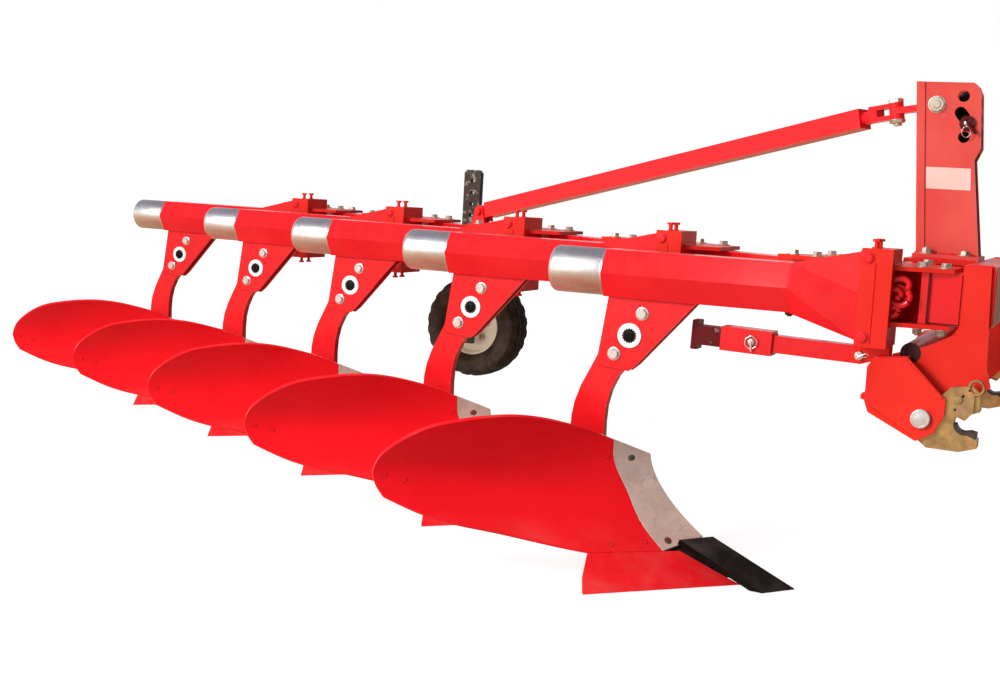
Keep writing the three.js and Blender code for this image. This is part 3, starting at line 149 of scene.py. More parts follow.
def hexagon(bm, at, direction, across, height, turn=0):
    """A six sided head with its corners turned off."""
    m = Matrix.Translation(at) @ basis(direction)
    flat = across / 2

    def ring(share, z, is_round):
        out = []
        for i in range(HEAD_POINTS):
            from_flat = (i % POINTS_PER_FLAT) / POINTS_PER_FLAT * pi / 3 - pi / 6
            radius = flat * CROWN_SHARE if is_round else flat / cos(from_flat)
            out.append(m @ Vector((*on_circle(radius * share, i, HEAD_POINTS, turn), z)))
        return out

    ring_stack(bm, [ring(1, 0, False), ring(1, height * CROWN_HEIGHT_SHARE, False), ring(0.995, height, True),
                    ring(TOP_SHARE, height, True)])


# Bolts have their measures as shares of the width across the flats
WASHER_BORE, WASHER_RADIUS, WASHER_TOP, WASHER_EDGE = 0.62, 0.86, 0.6, 0.0004
WASHER_HEIGHT, WASHER_CROWN, NUT_HEIGHT, HEAD_HEIGHT = 0.1, 0.12, 0.62, 0.48
THREAD_PITCH, THREAD_RADIUS, THREAD_ROOT = 0.035, 0.3, 0.275
THREAD = [(THREAD_RADIUS, -0.1)]
for i in range(4):
    THREAD += [(THREAD_RADIUS, THREAD_PITCH * i), (THREAD_ROOT, THREAD_PITCH * i + 0.017)]
THREAD += [(0.24, 0.15)]


def bolt(bm, at, direction, across, nut=False, turn=0):
    """A washer with a head, or with a nut and the end of its thread."""
    d = Vector(direction).normalized()
    washer = [(WASHER_BORE * across, 0), (WASHER_RADIUS * across, WASHER_EDGE),
              (WASHER_RADIUS * across, WASHER_HEIGHT * across), (WASHER_TOP * across, WASHER_CROWN * across)]
    lathe(bm, washer, at, d, 28)
    seat = Vector(at) + d * across * WASHER_HEIGHT
    tall = across * (NUT_HEIGHT if nut else HEAD_HEIGHT)
    hexagon(bm, seat, d, across, tall, turn)
    if nut:
        lathe(bm, [(across * r, across * h) for r, h in THREAD], seat + d * tall, d, 18)


BEAD_SIDES, BEAD_STEP, BEAD_END, BEAD_GROWTH = 8, 0.0035, 0.45, 0.3
RIPPLE, RIPPLE_TURN, UNEVEN = 0.16, 2.1, 0.14


def around(p, direction, radius, sides):
    m = basis(direction)
    return [p + m @ Vector((x, y, 0)) for x, y in circle(radius, sides)]


def weld(bm, points, radius, seed):
    """A bead of overlapping ripples along a line of points."""
    points = [Vector(p) for p in points]
    path = [points[0]]
    for a, b in zip(points, points[1:]):
        n = max(1, int((b - a).length / BEAD_STEP))
        path += [a.lerp(b, (i + 1) / n) for i in range(n)]
    rings = []
    for i, p in enumerate(path):
        along = path[min(i + 1, len(path) - 1)] - path[max(i - 1, 0)]
        wave = 1 + RIPPLE * sin(i * RIPPLE_TURN) + UNEVEN * noise.noise(Vector((i * 0.37, seed * 3.1, 0.5)))
        end = min(1, BEAD_END + BEAD_GROWTH * min(i, len(path) - 1 - i))
        rings.append(around(p, along, radius * wave * end, BEAD_SIDES))
    ring_stack(bm, rings)


def seam(bm, a, b, radius, seed):
    """A straight bead between two shared places."""
    weld(bm, [shared(*a), shared(*b)], radius, seed)


def tube(bm, points, radius, sides, closed=False):
    """A round bar along a smooth line, with rounded ends unless it is closed."""
    points = [Vector(p) for p in points]
    last = len(points) - 1
    rings = []
    for i, p in enumerate(points):
        before = points[i - 1] if closed else points[max(i - 1, 0)]
        after = points[(i + 1) % len(points)] if closed else points[min(i + 1, last)]
        rings.append(around(p, after - before, radius, sides))
    if not closed:
        for i, neighbour in ((0, 1), (-1, -2)):
            centre, end = points[i], rings[i]
            out = (centre - points[neighbour]).normalized() * radius
            cap = [p + (centre - p) * 0.35 + out * 0.35 for p in end]
            tip = [centre + out * 0.5 + (p - centre) * 0.02 for p in end]
            rings = [tip, cap] + rings if i == 0 else rings + [cap, tip]
    ring_stack(bm, rings, loop=closed)


def prism(bm, outline, direction, depth, at=(0, 0, 0)):
    """A flat plate: outline points in 3D, given thickness along direction."""
    thickness = Vector(direction).normalized() * depth
    low = [bm.verts.new(Vector(p) + Vector(at)) for p in outline]
    high = [bm.verts.new(Vector(p) + Vector(at) + thickness) for p in outline]
    n = len(low)
    bm.faces.new(low)
    bm.faces.new(list(reversed(high)))
    for i in range(n):
        bm.faces.new((low[i], high[i], high[(i + 1) % n], low[(i + 1) % n]))


# Materials

def node_tree(name):
    material = bpy.data.materials.new(name)
    material.use_nodes = True
    tree = material.node_tree
    return material, tree, tree.nodes["Principled BSDF"]


def feed(tree, node, **values):
    """Gives sockets of a node, by name or by number, a link or a constant."""
    for key, value in values.items():
        name = key.replace("_", " ")
        socket = node.inputs[int(name[2:]) if name.startswith("in") else name]
        if hasattr(value, "links"):
            tree.links.new(value, socket)
        else:
            socket.default_value = value


def noise_of(tree, coords, scale, detail=4, rough=0.55, stretch=None):
    """Noise with so many cells to the metre."""
    if stretch is not None:
        mapping = tree.nodes.new("ShaderNodeMapping")
        feed(tree, mapping, Vector=coords, Scale=stretch)
        coords = mapping.outputs["Vector"]
    made = tree.nodes.new("ShaderNodeTexNoise")
    feed(tree, made, Vector=coords, Scale=scale, Detail=detail, Roughness=rough)
    return made.outputs[0]


def rgba(color):
    """A colour is three numbers, and a grey is one."""
    return (*color, 1) if isinstance(color, tuple) else (color, color, color, 1)


def ramp(tree, value, *stops):
    """Spreads value over (place, colour) stops."""
    made = tree.nodes.new("ShaderNodeValToRGB")
    elements = made.color_ramp.elements
    for element, (place, color) in zip(elements, (stops[0], stops[-1])):
        element.position, element.color = place, rgba(color)
    for place, color in stops[1:-1]:
        elements.new(place).color = rgba(color)
    feed(tree, made, Fac=value)
    return made.outputs["Color"]


def spots(tree, coords, scale, detail, rough, low, high):
    """Noise, spread between two (place, colour) stops."""
    return ramp(tree, noise_of(tree, coords, scale, detail, rough), low, high)


def blend_colours(tree, factor, a, b, kind="MIX"):
    made = tree.nodes.new("ShaderNodeMix")
    made.data_type = "RGBA"
    made.blend_type = kind
    a, b = (c if hasattr(c, "links") else rgba(c) for c in (a, b))
    feed(tree, made, in0=factor, in6=a, in7=b)
    return made.outputs[2]


def maths(tree, operation, *values):
    made = tree.nodes.new("ShaderNodeMath")
    made.operation = operation
    feed(tree, made, **{f"in{i}": value for i, value in enumerate(values)})
    return made.outputs[0]


def bumps(tree, shader, layers):
    """Stacks bump layers: (height socket, distance, strength)."""
    normal = None
    for height, distance, strength in layers:
        made = tree.nodes.new("ShaderNodeBump")
        feed(tree, made, Height=height, Distance=distance, Strength=strength)
        if normal is not None:
            feed(tree, made, Normal=normal)
        normal = made.outputs["Normal"]
    feed(tree, shader, Normal=normal)


def position_of(tree):
    return tree.nodes.new("ShaderNodeNewGeometry").outputs["Position"]


# Noise cells to the metre, for each mark that wear and spraying leave
TONES, CLOUDS, GLOSS, CHIPPING, SPECKS, PEEL = 3.2, 9, 22, 38, 160, 420
STEEL_TONES, STAINS, STEEL_GLOSS, DENTS = 14, 26, 33, 90
CHIP_FADE = 0.05
DUST = (0.62, 0.5, 0.42)


def paint(name, light, dark, roughness=(0.2, 0.34), chip=(0.3, 0.27, 0.25), chips=0.62, peel=0.1,
          coat=0.12, shine=0.25):
    """Sprayed enamel: slow tones, orange peel, chips on the edges and a film of dust on what faces up."""
    material, tree, shader = node_tree(name)
    coords = position_of(tree)
    tone = spots(tree, coords, TONES, 3, 0.55, (0.35, dark), (0.62, light))
    fine = noise_of(tree, coords, SPECKS, 5, 0.65)
    geometry = tree.nodes.new("ShaderNodeNewGeometry")
    edge = ramp(tree, geometry.outputs["Pointiness"], (0.53, 0), (0.6, 1))
    patchy = spots(tree, coords, CHIPPING, 6, 0.7, (chips, 0), (chips + CHIP_FADE, 1))
    worn = blend_colours(tree, 1, edge, patchy, "MULTIPLY")
    chipped = blend_colours(tree, worn, tone, chip)
    split = tree.nodes.new("ShaderNodeSeparateXYZ")
    feed(tree, split, Vector=geometry.outputs["Normal"])
    up = ramp(tree, split.outputs["Z"], (0.6, 0), (1, 0.16))
    cloud = spots(tree, coords, CLOUDS, 6, 0.6, (0.42, 0.1), (0.75, 1))
    color = blend_colours(tree, maths(tree, "MULTIPLY", up, cloud), chipped, DUST)
    low, high = roughness
    gloss = spots(tree, coords, GLOSS, 5, 0.6, (0.3, low), (0.72, high))
    rough = blend_colours(tree, worn, gloss, 0.6)
    feed(tree, shader, Base_Color=color, Roughness=rough, Coat_Weight=coat, Coat_Roughness=0.12,
         Specular_IOR_Level=shine)
    peel_height = noise_of(tree, coords, PEEL, 2, 0.5)
    bumps(tree, shader, [(peel_height, 0.0006, peel), (fine, 0.0004, 0.12), (worn, 0.0005, -0.25)])
    return material


def metal(name, light, dark, roughness, line_scale, line_depth, metallic=1, lines=(1, 1, 1), stain=None):
    """Bare steel with fine marks, drawn out along one way by lines, slow tone changes and stains."""
    material, tree, shader = node_tree(name)
    coords = position_of(tree)
    tone = spots(tree, coords, STEEL_TONES, 6, 0.65, (0.34, dark), (0.66, light))
    marks = noise_of(tree, coords, line_scale, 4, 0.6, lines)
    streak = ramp(tree, marks, (0.3, 0.82), (0.7, 1))
    color = blend_colours(tree, 1, tone, streak, "MULTIPLY")
    if stain:
        where = spots(tree, coords, STAINS, 8, 0.7, (0.56, 0), (0.7, 0.7))
        color = blend_colours(tree, where, color, stain)
    low, high = roughness
    rough = spots(tree, coords, STEEL_GLOSS, 6, 0.6, (0.3, low), (0.7, high))
    feed(tree, shader, Base_Color=color, Metallic=metallic, Roughness=rough)
    bumps(tree, shader, [(marks, 0.0004, line_depth), (noise_of(tree, coords, DENTS, 5), 0.0005, 0.08)])
    return material


# Paints: name, light tone, dark tone, least and most roughness
RED = paint("red_enamel", (0.78, 0.008, 0.013), (0.68, 0.006, 0.01), chips=0.71, coat=0.3)
# The boards and shares take a brighter copy of the red enamel: painted light, making up for the light their
# concave faces miss
RED_BOARD_BRIGHTENED = paint("red_board_enamel", (0.96, 0.01, 0.017), (0.88, 0.008, 0.014), (0.24, 0.34),
                  chips=0.72, coat=0.06, shine=0.16)
RED_LIGHT = paint("orange_red_enamel", (0.76, 0.026, 0.015), (0.68, 0.017, 0.01), (0.3, 0.44),
                  chips=0.72, coat=0.06, shine=0.12)
RED_GLOSS = paint("glossy_red_enamel", (0.74, 0.085, 0.062), (0.66, 0.055, 0.042), (0.24, 0.34), coat=0.15)
# Near black red: the link pin grip's own colour, and on the stand leg a shaded copy of the red enamel,
# painted shade
RED_DARK_AND_SHADED = paint("dark_red_enamel", (0.12, 0.005, 0.006), (0.08, 0.004, 0.005), coat=0.1, shine=0.15)
BLACK = paint("black_enamel", (0.006, 0.005, 0.005), (0.003, 0.003, 0.003), (0.36, 0.55),
              chip=(0.1, 0.08, 0.07), chips=0.68, peel=0.3, coat=0.02, shine=0.12)
POST = paint("dark_post_paint", (0.05, 0.034, 0.022), (0.025, 0.018, 0.012), (0.42, 0.6),
             chip=(0.28, 0.24, 0.2), chips=0.55, peel=0.25, coat=0.05)
RIM = paint("cream_rim_paint", (0.86, 0.79, 0.62), (0.72, 0.63, 0.46), (0.3, 0.45),
            chip=(0.3, 0.2, 0.12), chips=0.6)
WHITE = paint("white_cap_paint", (0.9, 0.89, 0.87), (0.8, 0.78, 0.76), (0.3, 0.42),
              chip=(0.5, 0.48, 0.45), chips=0.7)
PALE = paint("bare_plate_paint", (0.88, 0.62, 0.54), (0.82, 0.5, 0.43), (0.25, 0.4), chips=0.8, coat=0.3)
# Near black: dirt in the bolt seats and latch marks, painted shade in the headstock's gaps, and the dark
# shaft ends
GRIME_AND_SHADE = paint("dirt_in_gaps", (0.05, 0.012, 0.012), (0.02, 0.008, 0.008), (0.6, 0.8), chips=0.9, coat=0)

# Steels: name, light tone, dark tone, roughness, cells and depth of the marks, share of metal
POLISHED = metal("polished_cover_steel", (0.97, 0.95, 0.93), (0.88, 0.86, 0.84), (0.34, 0.44), 420, 0.1,
                 lines=(1, 0.05, 0.05))
SHIN = metal("ground_shin_steel", (0.86, 0.66, 0.55), (0.68, 0.5, 0.42), (0.34, 0.5), 260, 0.25, 0.25,
             lines=(0.08, 1, 1), stain=(0.42, 0.28, 0.2))
ZINC = metal("zinc_bolts", (0.86, 0.8, 0.66), (0.66, 0.6, 0.47), (0.24, 0.42), 180, 0.25, 0.75,
             stain=(0.45, 0.33, 0.2))
STEEL = metal("bright_pins", (0.78, 0.76, 0.73), (0.58, 0.56, 0.53), (0.18, 0.34), 240, 0.2)
GOLD = metal("yellow_plated_steel", (0.86, 0.58, 0.22), (0.36, 0.24, 0.12), (0.26, 0.46), 60, 0.35, 0.8,
             stain=(0.5, 0.3, 0.36))
ZINC_BRIGHT = metal("bright_zinc", (0.93, 0.92, 0.89), (0.78, 0.76, 0.72), (0.2, 0.34), 200, 0.15, 0.7)
# Dark steel for the clamp nuts, and painted shade inside the hook jaws
DARK_STEEL_AND_SHADE = metal("dark_nuts_and_jaw_shade", (0.12, 0.1, 0.09), (0.05, 0.045, 0.04), (0.35, 0.55), 200, 0.2, 0.6)
CAP_STEEL = metal("bolt_cap_steel", (0.9, 0.89, 0.87), (0.74, 0.73, 0.71), (0.22, 0.36), 120, 0.12, 0.6)


def rubber():
    material, tree, shader = node_tree("tyre_rubber")
    coords = position_of(tree)
    dust = spots(tree, coords, 18, 7, 0.7, (0.4, 0), (0.75, 1))
    color = blend_colours(tree, dust, (0.022, 0.014, 0.008), (0.085, 0.056, 0.034))
    rough = spots(tree, coords, 60, 5, 0.55, (0.3, 0.62), (0.7, 0.86))
    feed(tree, shader, Base_Color=color, Roughness=rough)
    bumps(tree, shader, [(noise_of(tree, coords, 500, 3), 0.0006, 0.35)])
    return material


RUBBER = rubber()

LOOKS = {
    "red_paint": RED, "polished_steel": POLISHED, "worn_steel": STEEL, "black_paint": BLACK,
    "post_steel": POST, "tyre_rubber": RUBBER, "rim_paint": RIM, "plated_steel": GOLD,
}
SLOT_OF = {p["node"]: p["material_slot"] for p in frame["record"]["subparts"]}


def look_of_node(name):
    if name.startswith("shin"):
        return SHIN
    # The stand leg is painted in shade with a dark copy of the red
    if name == "stand_leg":
        return RED_DARK_AND_SHADED
    # Mouldboards and shares get the brightened red: painted light
    if name.startswith(("mouldboard", "share")):
        return RED_BOARD_BRIGHTENED
    if name == "mast":
        return RED_GLOSS
    if name == "headstock" or name.startswith("head_"):
        return RED_LIGHT
    return LOOKS[SLOT_OF[name]]


# The CAD pieces keep their meshes and get soft edges and a finish
EDGE = {"arm": 0.003, "leg": 0.003, "mast": 0.0015, "frog": 0.002, "hook": 0.002, "latch": 0.0012,
        "wheel": 0.002}
OTHER_EDGE = 0.0016
SHARP, FLAT = 32, 0.6
for name, obj in frame["nodes"].items():
    material = look_of_node(name)
    if obj.data.materials:
        for i in range(len(obj.data.materials)):
            obj.data.materials[i] = material
    else:
        obj.data.materials.append(material)
    obj.data.polygons.foreach_set("use_smooth", [True] * len(obj.data.polygons))
    obj.data.set_sharp_from_angle(angle=radians(SHARP))
    flat = obj.modifiers.new("flat_faces", "DECIMATE")
    flat.decimate_type = "DISSOLVE"
    flat.angle_limit = radians(FLAT)
    soften(obj, EDGE.get(name.split("_")[0], OTHER_EDGE), angle=SHARP)


# The plough surface, as the CAD source has it
LAND_Y = 0.016
EDGE_BACK, EDGE_REACH, EDGE_HEIGHT, EDGE_POWER = 0.262, 0.358, 0.345, 1.75
SHARE_ANGLE, TWIST_ANGLE, TWIST_HEIGHT = 45.7, 7.2, 0.2
BOARD_LENGTH, BOARD_HEIGHT, SHARE_HEIGHT = 0.857, 0.459, 0.08
SEAM, PLATE, SHIN_FOOT, SHIN_TOP = 0.0005, 0.01, 0.113, 0.338


def surface(run, height):
    rise = max(1 - height / EDGE_HEIGHT, 0)
    edge = EDGE_BACK + EDGE_REACH * rise ** EDGE_POWER
    lag = (height - TWIST_HEIGHT) / TWIST_HEIGHT
    angle = radians(SHARE_ANGLE - TWIST_ANGLE * (1 - lag * lag))
    return Vector((edge - run * cos(angle), LAND_Y - run * sin(angle), height))


def inward(run, height, step=0.001):
    along = surface(run + step, height) - surface(run - step, height)
    up = surface(run, height + step) - surface(run, height - step)
    return along.cross(up).normalized()


def curve(points):
    """A smooth curve through points, run along from 0 to 1."""
    last = len(points) - 1

    def at(t):
        place = min(max(t, 0), 1) * last
        i = min(int(place), last - 1)
        w = place - i
        four = [points[min(max(i + step, 0), last)] for step in (-1, 0, 1, 2)]
        out = []
        for k in (0, 1):
            p0, p1, p2, p3 = (p[k] for p in four)
            v0, v1 = (p2 - p0) / 2, (p3 - p1) / 2
            bend = -3 * p1 + 3 * p2 - 2 * v0 - v1
            out.append((2 * p1 - 2 * p2 + v0 + v1) * w ** 3 + bend * w * w + v0 * w + p1)
        return out
    return at


def edge_curve(shares):
    """A curve through shares of the board's length, and of its height above the share."""
    rise = BOARD_HEIGHT - SHARE_HEIGHT
    return curve([(a * BOARD_LENGTH, SHARE_HEIGHT + b * rise) for a, b in shares])


def straight(a, b):
    return lambda t: [a[0] + (b[0] - a[0]) * t, a[1] + (b[1] - a[1]) * t]


def lifted(curve, run, rise):
    return lambda t: [curve(t)[0] + run, curve(t)[1] + rise]


def patch(bottom, top, front, rear):
    """A patch between four edge curves that share their corners."""
    def at(u, v):
        out = []
        for k in (0, 1):
            sides = (1 - v) * bottom(u)[k] + v * top(u)[k] + (1 - u) * front(v)[k] + u * rear(v)[k]
            low = (1 - u) * bottom(0)[k] + u * bottom(1)[k]
            high = (1 - u) * top(0)[k] + u * top(1)[k]
            out.append(sides - (1 - v) * low - v * high)
        return out
    return at


top_edge = edge_curve([
    (0.144, 0.794), (0.235, 0.87), (0.335, 0.929), (0.435, 0.976), (0.53, 1), (0.613, 1),
    (0.708, 0.979), (0.814, 0.929), (0.891, 0.832), (0.955, 0.691), (0.996, 0.54)])
low_edge = edge_curve([(0.455, 0), (0.56, 0.049), (0.7, 0.124), (0.84, 0.19), (0.92, 0.255), (1, 0.358)])
tail_edge = edge_curve([(1, 0.358), (1.004, 0.443), (0.996, 0.54)])
seam_edge = edge_curve([(0.204, 0), (0.18, 0.164), (0.138, 0.394), (0.138, 0.588), (0.144, 0.794)])
joint_edge = straight(seam_edge(0), low_edge(0))


def foot_edge(t):
    """The board's foot: its first third lies on the share, the rest rises to the tail."""
    return joint_edge(t * 3) if t < 1 / 3 else low_edge((t - 1 / 3) * 1.5)


def plate_skin(name, k, place, columns, rows, material):
    """A plate with its face on the plough surface, where place(u, v) gives run and height."""
    bm = bmesh.new()
    sides = []
    for depth in (0, PLATE):
        grid = []
        for i in range(columns + 1):
            spots_on_it = [place(i / columns, j / rows) for j in range(rows + 1)]
            grid.append([bm.verts.new(surface(*p) + inward(*p) * depth) for p in spots_on_it])
        sides.append(grid)
    front, back = sides
    for i in range(columns):
        for j in range(rows):
            bm.faces.new((front[i][j], front[i + 1][j], front[i + 1][j + 1], front[i][j + 1]))
            bm.faces.new((back[i][j], back[i][j + 1], back[i + 1][j + 1], back[i + 1][j]))
    edge = [(i, j, i + 1, j) for i in range(columns) for j in (0, rows)]
    edge += [(i, j, i, j + 1) for j in range(rows) for i in (0, columns)]
    for i, j, m, n in edge:
        bm.faces.new((front[i][j], back[i][j], back[m][n], front[m][n]))
    obj = link_copy(name, k, bm, material, ROUNDED)
    soften(obj, PLATE_EDGE)
    return obj


PLATE_EDGE, TAIL_ROOM = 0.0011, 0.0002
BOARD_COLUMNS, SHIN_COLUMNS, PLATE_ROWS = 66, 10, 34


def plates(k):
    board = patch(lifted(foot_edge, SEAM, SEAM), lifted(top_edge, SEAM, SEAM),
                  lifted(seam_edge, SEAM, SEAM), lifted(tail_edge, TAIL_ROOM, SEAM))
    made = plate_skin("board_skin", k, board, BOARD_COLUMNS, PLATE_ROWS, RED_BOARD_BRIGHTENED)
    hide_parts(f"mouldboard_{k + 1}")
    rear = lifted(seam_edge, -SEAM, SEAM)
    foot, top = [0, SHIN_FOOT], [0, SHIN_TOP]
    shin = patch(straight(foot, rear(0)), straight(top, rear(1)), straight(foot, top), rear)
    made = plate_skin("shin_skin", k, shin, SHIN_COLUMNS, PLATE_ROWS, SHIN)
    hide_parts(f"shin_{k + 1}")


# Flush bolt heads in the plates, as (run, height) on the surface, each in a ring of dirt
HEAD_RADIUS, SHIN_HEAD_RADIUS = 0.0068, 0.0092
BOARD_HEADS = mm((137, 329), (311, 97), (198, 102), (772, 261), (823, 277))
SHARE_HEADS = mm((311, 61), (161, 62))
SHIN_HEADS = mm((63, 326), (124, 104))
REAR_NUTS = mm((137, 329), (311, 97), (198, 104))
NUT_ACROSS, NUT_GAP, SADDLE, SADDLE_TOP = 0.019, 0.0001, 0.0115, 0.25


def flush_heads(name, k, places, radius, material):
    heads, rings = bmesh.new(), bmesh.new()
    head = [(radius, -0.001), (radius, 0.0004), (radius * 0.9, 0.0008), (radius * 0.2, 0.0006)]
    out, inside = radius * 1.22, radius * 1.03
    seat = [(out, -0.0004), (out, 0.00025), (inside, 0.0002), (inside, -0.0004)]
    for place in places:
        p, n = surface(*place), -inward(*place)
        lathe(heads, head, p, n, 26)
        lathe(rings, seat, p, n, 26, closed=True)
    link_copy(name, k, heads, material)
    link_copy(f"{name}_seats", k, rings, GRIME_AND_SHADE)


def plate_bolts(k):
    flush_heads("board_heads", k, BOARD_HEADS, HEAD_RADIUS, RED_BOARD_BRIGHTENED)
    flush_heads("share_heads", k, SHARE_HEADS, HEAD_RADIUS, RED_BOARD_BRIGHTENED)
    flush_heads("shin_heads", k, SHIN_HEADS, SHIN_HEAD_RADIUS, STEEL)


def rear_nuts(k):
    """The nuts behind the plates: the high one sits on the board, the low ones on the frog's saddle."""
    bm = bmesh.new()
    for run, height in REAR_NUTS:
        n = inward(run, height)
        depth = PLATE + NUT_GAP + (0 if height > SADDLE_TOP else SADDLE)
        bolt(bm, surface(run, height) + n * depth, n, NUT_ACROSS, nut=True)
    link_copy("plate_nuts", k, bm, ZINC)


# Spring cover: a polished cup with fine rings, a bead and a rolled rim
COVER_REAR, COVER_RADIUS, TUBE_MID = -0.074, 0.07, 0.8695
COVER_CROWN = [(0.022, 0.0022), (0.03, 0.0004), (0.05, 0), (0.058, 0.0009), (0.0635, 0.004),
               (0.0672, 0.0085), (0.0692, 0.013), (COVER_RADIUS, 0.018)]
COVER_RINGS = [(COVER_RADIUS - (0.00025 if i % 2 else 0), 0.018 + 0.0026 * i) for i in range(1, 5)]
COVER_RIM = [(COVER_RADIUS, 0.04), (COVER_RADIUS, 0.164), (0.0696, 0.165), (COVER_RADIUS, 0.166),
             (COVER_RADIUS, 0.1725), (0.0693, 0.1736), (0.0646, 0.1736), (0.064, 0.173)]
COVER_INSIDE = mm((64, 14), (20, 14))


def spring_cover(k):
    bm = bmesh.new()
    lathe(bm, COVER_CROWN + COVER_RINGS + COVER_RIM + COVER_INSIDE, (COVER_REAR, 0, TUBE_MID), (1, 0, 0), 84)
    made = link_copy("cover_skin", k, bm, POLISHED, 28)
    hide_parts(f"spring_cover_{k + 1}")


# Leg bolts on both cheeks, and the cap between them
LEG_BOLTS = mm((220, 756), (140.1, 630.2))
LEG_WASHER = mm((16, 0), (19.6, 0.4), (20, 2.2), (18.8, 2.8), (16, 2.9))
LEG_THREAD = mm((8.5, 0), (8.5, 3), (7.8, 3.6), (2, 3.6))
LEG_NUT_ACROSS, LEG_NUT_SEAT, LEG_NUT_HEIGHT = 0.0275, 0.0026, 0.0105
CHEEK_FACE = 0.0243
CAP_PLACE = Vector((0.185, -CHEEK_FACE, 0.6885))
CAP = mm((37, 0), (37, 3.4), (36.2, 4.6), (34.5, 5), (33, 4.6), (32.2, 4), (28, 4.4), (1, 4.6))
CAP_HUB = mm((13, 6), (13, 7.4), (11.8, 8), (7, 8), (6.2, 7), (1, 7))
TOOTH_POINTS, TOOTH_TOP, TOOTH_ROOT, TOOTH_SEAT, TOOTH_DEPTH = 64, 0.0225, 0.0192, 0.003, 0.0036


def leg_bolts(k):
    bm = bmesh.new()
    for x, z in LEG_BOLTS:
        for side in SIDES:
            face, d = Vector((x, side * CHEEK_FACE, z)), Vector((0, side, 0))
            lathe(bm, LEG_WASHER, face, d, 32)
            hexagon(bm, face + d * LEG_NUT_SEAT, d, LEG_NUT_ACROSS, LEG_NUT_HEIGHT, 0.3 + x * 9)
            if side > 0:
                lathe(bm, LEG_THREAD, face + d * 0.013, d, 18)
    link_copy("leg_bolts", k, bm, ZINC_BRIGHT)


def leg_cap(k):
    bm = bmesh.new()
    lathe(bm, CAP, CAP_PLACE, (0, -1, 0), 56)
    link_copy("leg_cap", k, bm, WHITE, ROUNDED)
    bm = bmesh.new()
    teeth = []
    for i in range(TOOTH_POINTS):
        x, z = on_circle(TOOTH_TOP if i % 4 in (0, 1) else TOOTH_ROOT, i, TOOTH_POINTS)
        teeth.append(CAP_PLACE + Vector((x, -TOOTH_SEAT, z)))
    prism(bm, teeth, (0, -1, 0), TOOTH_DEPTH)
    lathe(bm, CAP_HUB, CAP_PLACE, (0, -1, 0), 40)
    link_copy("leg_cap_plug", k, bm, BLACK, ROUNDED)


# Welds on the arm: cheeks to tube, flare to flange
CHEEK_WELD, UNDER_TUBE = 0.0247, 0.7993
FLANGE_BACK, FLANGE_SIDE, FLANGE_TOP = 0.8468, 0.07, 0.9866


def arm_welds(k):
    bm = bmesh.new()
    for side in SIDES:
        y = side * CHEEK_WELD
        weld(bm, [(0.116, y, UNDER_TUBE), (0.38, y, UNDER_TUBE)], 0.0036, k + side)
        y = side * FLANGE_SIDE
        weld(bm, [(FLANGE_BACK, y, 0.752), (FLANGE_BACK, y, 0.975)], 0.0032, k + 2 + side)
    weld(bm, [(FLANGE_BACK, -0.064, FLANGE_TOP), (FLANGE_BACK, 0.064, FLANGE_TOP)], 0.0032, k + 7)
    link_copy("arm_welds", k, bm, RED, BEADED)


# Places on the oblique beam are n across it and t along it
ALONG = Vector((-STEP, FURROW)).normalized()
ACROSS = Vector((ALONG.y, -ALONG.x))


def on_beam(n, t):
    return ACROSS.x * n + ALONG.x * t, ACROSS.y * n + ALONG.y * t


def along_at_x(n, x):
    return (x - ACROSS.x * n) / ALONG.x


# Trip head: bosses of the pins, adjusting screws and the bolts of the clamp plates
HEAD_FRONT, HEAD_TOP, HEAD_BOTTOM = 0.9303, 0.996, 0.727
CLAMP_TOP, CLAMP_BOTTOM = 0.9521, 0.7869
PIN_X, PIN_HEIGHTS, EAR_FACE = 0.866, (0.97, 0.754), 0.0849
BOSS = mm((16.5, -1), (17.2, 1.2), (16, 2.6), (12.6, 3))
PIN_END = mm((12.4, 0), (12.4, 6.2), (11.2, 7.4), (2, 7.6))
EAR_WELD_X, FACE_WELD_X = 0.8856, HEAD_FRONT + 0.001
SCREW_X, SCREW_Y = 0.876, (-0.03, 0.03)
SCREW = mm((9.5, -1), (9.5, 2), (6.6, 2.2), (6.6, 19))
SCREW_ACROSS, SCREW_HEAD, SCREW_HEAD_SEAT = 0.0215, 0.0075, 0.0175
CLAMP_ACROSS, CLAMP_BACK = 0.025, along_at_x(0.715, HEAD_FRONT + 0.11)
CLAMP_ROWS = [(0.6825, (0.045, 0.155, 0.285, 0.4)), (0.5175, (0.135, 0.225, 0.315, 0.405))]
DECK_BOLTS = mm((997, 4), (1059, 4))


def head_bosses(k):
    bm = bmesh.new()
    for z in PIN_HEIGHTS:
        for side in SIDES:
            lathe(bm, BOSS, (PIN_X, side * EAR_FACE, z), (0, side, 0), 32)
            lathe(bm, PIN_END, (PIN_X, side * EAR_FACE, z), (0, side, 0), 28)
    for side in SIDES:
        y = side * 0.085
        weld(bm, [(EAR_WELD_X, y, 0.735), (EAR_WELD_X, y, 0.958)], 0.0022, k * 3 + side)
    for z, seed in ((0.9536, 11), (0.7857, 12)):
        weld(bm, [(FACE_WELD_X, -0.052, z), (FACE_WELD_X, 0.08, z)], 0.004, k + seed)
    link_copy("head_bosses", k, bm, RED, ROUNDED, "frame")


def head_screws(k):
    """Two above and two below, but for the first head, which has the stand below."""
    bm = bmesh.new()
    for y in SCREW_Y:
        for z, way in ((HEAD_TOP, 1), (HEAD_BOTTOM, -1)):
            if k > 0 or way > 0:
                base, up = Vector((SCREW_X, y, z)), Vector((0, 0, way))
                lathe(bm, SCREW, base, up, 24)
                hexagon(bm, base + up * SCREW_HEAD_SEAT, up, SCREW_ACROSS, SCREW_HEAD, 0.2 + y * 20)
    link_copy("head_screws", k, bm, RED_LIGHT, body="frame")


